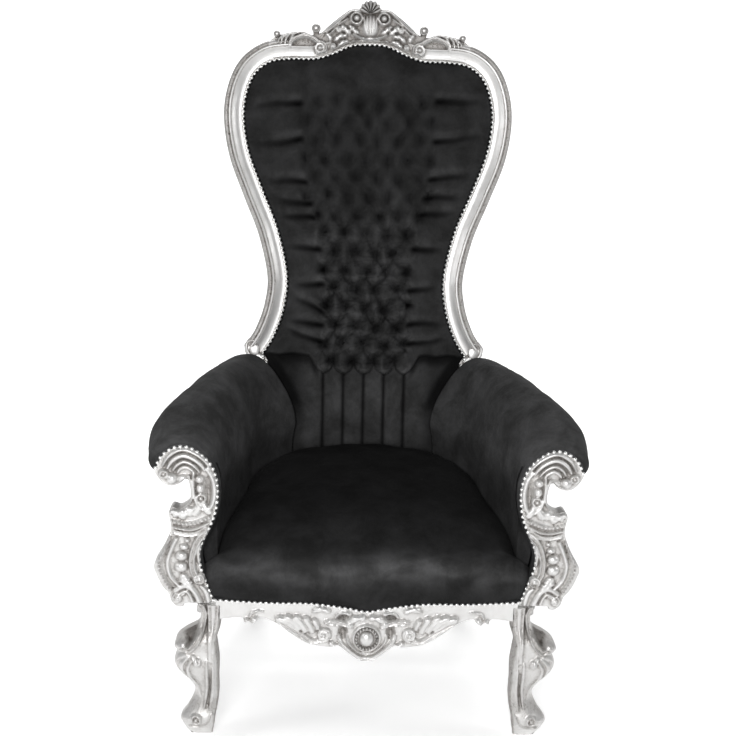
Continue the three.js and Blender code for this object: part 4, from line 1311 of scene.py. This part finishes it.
def buttons():
    """Places of the back's buttons: a staggered field, narrower below."""
    places = []
    for row in range(int((TUFT_TOP - TUFT_LOW) / BUTTON_UP) + 1):
        w = TUFT_TOP - row * BUTTON_UP
        half = np.interp(w, *zip(*TUFT_HALF))
        for k in range(-5, 6):
            u = (k + 0.5 * ((row + 1) % 2)) * BUTTON_ACROSS
            if abs(u) < half:
                places.append((u, w))
    return np.array(places)


def pouches(u, w):
    """Rows of hanging pouches on the lower back: their bottoms, which also carry painted highlight, and the
    folds tucked under them, which also carry painted shade.
    """
    lips, tucks = np.zeros(u.shape), np.zeros(u.shape)
    for row in range(9):
        place = u / BUTTON_ACROSS - 0.5 * (row % 2)
        aside = 2 * np.abs(place - np.round(place))
        below = w - TUFT_LOW - row * BUTTON_UP - 20 * aside**2
        full = 0.7 + 0.3 * np.sin(5.1 * np.round(place) + 2.7 * row)
        lips = np.maximum(lips, full * bell(below - 12, 9) * (1 - aside**3))
        tucks = np.maximum(tucks, full * bell(below + 5, 6) * (0.4 + 0.6 * aside))
    return lips, tucks


def pleats(u, w, half, edge_gap):
    """The side pleats: how they lift or sink the velvet, the painted shade in their folds and the painted
    highlight above them.
    """
    raised, folds, highlit = np.zeros((3, *u.shape))
    away = np.abs(u) - half
    fading = smoothstep((away + 26) / 20) * smoothstep((edge_gap - 2) / 44)
    fading = fading * (0.35 + 0.65 * np.exp(-np.clip(away, 0, None) / 60))
    for sign, lines in ((-1, LEFT_PLEATS), (1, RIGHT_PLEATS)):
        for k, (level, slope) in enumerate(lines):
            d = w - (level + slope * away + 2.5 * np.sin(u / 23 + 2 * k))
            span = fading * (sign * u > 0)
            lip = np.where(d > 0, 11 * np.exp(-np.abs(d) / 20), -11 * np.exp(-np.abs(d) / 15))
            raised = raised + span * lip * smoothstep(np.abs(d) / 6)
            folds = np.maximum(folds, span * bell(d + 5, 8))
            highlit = np.maximum(highlit, span * bell(d - 13, 10))
    return raised, folds, highlit


def seam_gap(u):
    """How far each point lies from the nearest of the seams that run on below the buttons."""
    return np.abs(u / BUTTON_ACROSS - np.round(u / BUTTON_ACROSS)) * BUTTON_ACROSS


def hem_height(u):
    """Height of the buttoned field's hem: a row of lobes that slopes up at both sides."""
    side = np.abs(u)
    lobes = TUFT_LOW + 20 * (2 * seam_gap(u) / BUTTON_ACROSS) ** 2
    outer = np.interp(side, [108, 122, 132, 139, 146, 160], [TUFT_LOW, -38, -24, -10, 0, 3])
    return np.where(side < 108, lobes, outer) + 2 * np.sin(u / 11) * (side > 140)


def panels(u, w, hem):
    """The flat panels below the hem: depth of their seams, the painted shade in seams, recesses and under
    the hem, and the painted highlight on the middle panels.
    """
    side, seam = np.abs(u), seam_gap(u)
    seamed = smoothstep((2.5 * BUTTON_ACROSS - side) / 4)
    piping = 0.85 * seamed * bell(seam, 4.4) * smoothstep((w + 290) / 60)
    corner = np.interp(w, [-180, -120, -60, 0], [182, 197, 226, 262])
    recess = 0.8 * smoothstep((side - corner + 42) / 22) * smoothstep((w + 170) / 60)
    under = 0.75 * smoothstep((w - hem + 34) / 30) * smoothstep((side - 112) / 20)
    highlit = 0.56 * smoothstep((190 - side) / 50) * smoothstep((w + 270) / 60)
    return 5 * seamed * bell(seam, 5), np.maximum(piping, np.maximum(recess, under)), highlit


def button_pits(u, w, lower):
    """Hollows round the buttons, upright above and lying below."""
    upright = nearest_gap(u, 0.6 * w, buttons() * (1, 0.6))
    lying = nearest_gap(0.7 * u, 1.2 * w, buttons() * (0.7, 1.2))
    return bell(upright + (lying - upright) * lower, 12)


def tufting(u, w):
    """The back's velvet: height over its plane, its painted shade in pits and folds and its painted
    highlight with lighter nap.
    """
    side = np.abs(u)
    edge_gap = nearest_gap(u, w, OPENING[::6])
    half = np.interp(w, *zip(*TUFT_HALF))
    hem = hem_height(u)
    over = smoothstep((w - hem) / 9)
    lower = smoothstep((560 - w) / 420)
    field = smoothstep((half + 12 - side) / 26) * smoothstep((TUFT_TOP + 34 - w) / 40) * over
    # Tufts between the buttons, bent so that no two match
    u_bent = u + 3.0 * np.sin(w / 41 + 1.3) + 4.5 * crumple(u, w, 1, 60, 160)
    w_bent = w + 3.2 * np.sin(u / 37 + 0.4) + 4.5 * crumple(u, w, 2, 60, 160)
    p = u_bent / BUTTON_ACROSS + (w_bent - TUFT_TOP) / (2 * BUTTON_UP) + 0.5
    q = u_bent / BUTTON_ACROSS - (w_bent - TUFT_TOP) / (2 * BUTTON_UP) + 0.5
    pillow = (np.abs(np.sin(np.pi * p)) * np.abs(np.sin(np.pi * q))) ** (1.15 - 0.3 * lower)
    droop = (p - np.floor(p)) - (q - np.floor(q))
    plump = (1 + 0.35 * np.sin(3.7 * np.floor(p) + 5.3 * np.floor(q))) * (1 - (0.3 + 0.3 * lower) * droop)
    pit = button_pits(u_bent, w_bent, lower) * smoothstep((half + 20 - side) / 16) * over
    # Pouches and small creases on the lower part
    lips, tucks = pouches(u_bent, w_bent)
    pouch = smoothstep((380 - w) / 200) * field
    grooves = creased(0.4 * u, w, 6, 14, 34) * lower * field
    # Painted highlights: random bright spots and the crowns of the pillows low down, then the pouch bottoms
    painted_gloss = (np.clip(crumple(u, w, 7, 22, 60), 0, 1.5) + 0.9 * pillow * (1 - 0.6 * droop)) * lower * field
    painted_gloss = painted_gloss * (1 - 0.5 * pouch) + 1.7 * pouch * lips
    # Lobes along the hem
    lobes = over * (side < 124)
    between = bell(BUTTON_ACROSS / 2 - seam_gap(u), 6) * lobes * smoothstep((24 - w) / 30)
    # Painted highlight along the bottom of each hem lobe
    painted_gloss = painted_gloss + 1.6 * lobes * bell(w - hem - 12, 9) * (1 - between)
    raised, creases, pleat_highlight = (over * part for part in pleats(u, w, half, edge_gap))
    seams, shade, highlit = ((1 - over) * part for part in panels(u, w, hem))
    out = (26 * over + 6 * (1 - over)) * (1 - np.exp(-edge_gap / 22)) + over * 0.8 * crumple(u, w, 4, 26, 70)
    out = out + field * ((6 + 11 * lower) * pillow * plump - 4) - (9 + 7 * lower) * pit - 2.6 * grooves
    out = out + pouch * (4 * lips - 4 * tucks) - 6 * between + raised - seams
    # Painted shade: pits darker low down, toward the rim and at random; grooves, tucks under the pouches,
    # gaps between hem lobes, pleat folds and the panels' seams and recesses
    rim = smoothstep((side - half + 46) / 36)
    uneven = 0.7 + 0.3 * np.sin(4.1 * np.floor(u / 27) + 2.3 * np.floor(w / 49))
    fold = (0.6 + 0.2 * lower + 0.3 * rim) * uneven * pit + 0.3 * grooves + 0.5 * pouch * tucks
    fold = np.max([fold, 0.75 * between, creases, shade], axis=0)
    # Painted highlight and lighter nap: the middle panels, the field lower down, the spots, pillows and
    # pouch bottoms, the hem lobes and above the pleats
    nap_and_highlight = highlit + over * (0.1 + 0.15 * lower) + 0.3 * painted_gloss + 0.4 * pleat_highlight
    return np.maximum(out, 0.5), np.clip(fold, 0, 1), np.clip(nap_and_highlight, 0, 1)


def pad_plan():
    """Rows of points over the back's velvet in its plane, from behind the seat up to the crest."""
    across = np.linspace(-1, 1, PAD_COLUMNS)
    right = OPENING[OPENING_MIDDLE:]
    corner = int(np.argmin(np.hypot(right[:, 0] - 290, right[:, 1] - 745)))
    side = right[corner:]
    heights = np.arange(-300, side[0, 1], 3.0)
    half = np.interp(heights, side[::-1, 1], side[::-1, 0])
    half = np.where(heights < 4, np.interp(heights, [-30, -12, 4], [255, 256, 266]), half) - FIT_GAP
    rows = [lifted(across * h, w) for h, w in zip(half, heights)]
    arc = np.vstack([(right[:corner + 1] * (-1, 1))[:0:-1], right[:corner + 1]])
    along = lengths(arc) / lengths(arc)[-1] * 2 - 1
    crest = resample(arc, along, across) - (0, FIT_GAP)
    straight = lifted(across * side[0, 0], side[0, 1])
    rows += [straight + (crest - straight) * f for f in np.linspace(0.04, 1, 24)]
    return np.stack(rows)


def back_pad():
    skins, dots = Skins(), Skins()
    plan = pad_plan()
    out, fold, nap_and_highlight = tufting(plan[..., 0], plan[..., 1])
    front = np.concatenate([plan, out[..., None]], axis=2)
    rear = np.concatenate([plan, np.full(out.shape + (1,), -FRAME_DEPTH)], axis=2)[:, ::-20]
    skins.tube(np.concatenate([front, rear], axis=1))
    for u, w in buttons():
        height = tufting(np.array([[u]]), np.array([[w]]))[0][0, 0]
        dome(dots, (u, w), 6, 6, 2, height - 2.5, 12, 5)
    ribbon(dots, even(OPENING, 3), 1, lambda u, w, t: (u, w, t))
    skins.join(dots)
    piece = make_piece("back_upholstery_piece", skins.place(on_back), VELVET, "back_upholstery", None, 0.7)
    # Painted shade and painted highlight on the pad's front only; the buttons and turned edge get the pits'
    # painted shade
    plain = np.zeros(rear.shape[:2])
    for name, values, elsewhere in (("fold", fold, 0.6), ("nap_and_highlight", nap_and_highlight, 0.0)):
        sheet = np.concatenate([values, plain], axis=1).ravel()
        mark(piece, name, np.concatenate([sheet, np.full(dots.count, elsewhere)]))


# Nail heads
def nail_row(skins, path, where):
    dots = Skins()
    pearls(dots, path, NAIL_PITCH, NAIL_RADIUS, 4.0, 0.8)
    skins.join(dots.place(where))


def nails():
    back, arm, front = Skins(), Skins(), Skins()
    edge = even(OPENING, 3)
    nail_row(back, edge + left_normals(edge) * NAIL_LINE, on_back)
    heel = [(268, -1), (276, -7), (288, -8), (300, -5)]
    for foot in (heel, mirrored(heel)):
        nail_row(back, smooth_path(foot), lambda u, w, t: on_back(u, w, t + 10))
    make_piece("back_nail_heads", back, NAIL, "back_nail_trim", None)
    nail_row(arm, FACING_EDGE - left_normals(FACING_EDGE) * NAIL_LINE, on_front(FACING_Y))
    make_pair("arm_nail_trim", arm, NAIL, crease=None)
    edge = even(RAIL_EDGE, 3)
    nail_row(front, edge - left_normals(edge) * NAIL_LINE, on_front(APRON_Y))
    make_piece("seat_nail_heads", front, NAIL, "seat_nail_trim", None)


# Studio, in metres
FLOOR_REACH, FLOOR_END, FLOOR_BEND = 7.0, 4.0, 2.0


def stage_floor():
    """A pale floor that curves up into a far backdrop."""
    turn = np.linspace(0, math.pi / 2, 12)
    curve = [(FLOOR_END + FLOOR_BEND * math.sin(a), FLOOR_BEND * (1 - math.cos(a))) for a in turn]
    section = [(-FLOOR_REACH, 0)] + curve + [(FLOOR_END + FLOOR_BEND, FLOOR_REACH)]
    points = [(x, y, z) for y, z in section for x in (-FLOOR_REACH, FLOOR_REACH)]
    faces = [(2 * k, 2 * k + 1, 2 * k + 3, 2 * k + 2) for k in range(len(section) - 1)]
    mesh = bpy.data.meshes.new("floor")
    mesh.from_pydata(points, [], faces)
    mesh.polygons.foreach_set("use_smooth", np.ones(len(faces), bool))
    mesh.materials.append(pale_floor())
    floor = bpy.data.objects.new("floor", mesh)
    bpy.context.scene.collection.objects.link(floor)


def lights():
    """A wide soft light by the camera, others around the throne and one on the backdrop."""
    world = bpy.data.worlds.new("studio")
    world.use_nodes = True
    sky = world.node_tree.nodes["Background"]
    sky.inputs["Color"].default_value = (1, 1, 1, 1)
    sky.inputs["Strength"].default_value = 0.15
    bpy.context.scene.world = world
    middle, wall = (0, 0, 0.8), (0, 6, 1.5)
    for name, at, goal, size, power in (
        ("front_light", (-0.5, -3.9, 1.9), middle, 1.4, 110),
        ("left_light", (-3.0, -1.4, 2.2), middle, 0.8, 22),
        ("right_light", (3.0, -0.8, 2.2), middle, 0.8, 20),
        ("rear_light", (0, 2.0, 3.6), middle, 2.5, 42),
        ("backdrop_light", (0, 2.6, 4.4), wall, 3.0, 110),
    ):
        light = bpy.data.lights.new(name, "AREA")
        light.size = size
        light.energy = power
        lamp = bpy.data.objects.new(name, light)
        lamp.location = at
        aim = Vector(goal) - Vector(at)
        lamp.rotation_euler = aim.to_track_quat("-Z", "Y").to_euler()
        bpy.context.scene.collection.objects.link(lamp)


def camera():
    data = bpy.data.cameras.new("camera")
    data.sensor_width = SENSOR_WIDTH
    data.sensor_fit = "HORIZONTAL"
    data.lens = SENSOR_WIDTH * FOCAL_PX / IMAGE_PX
    eye = bpy.data.objects.new("camera", data)
    eye.location = CAMERA_AT
    turn = Euler((math.pi / 2 + CAMERA_PITCH, 0, -CAMERA_YAW), "XYZ").to_matrix()
    eye.rotation_euler = (turn @ Matrix.Rotation(CAMERA_ROLL, 3, "Z")).to_euler()
    bpy.context.scene.collection.objects.link(eye)
    bpy.context.scene.camera = eye


camera()
stage_floor()
lights()
crest_piece()
back_posts()
side_rails()
back_rail()
front_rail()
front_legs()
arm_supports()
arms()
seat()
back_pad()
nails()
bpy.context.scene.view_settings.view_transform = "Standard"
bpy.context.view_layer.update()
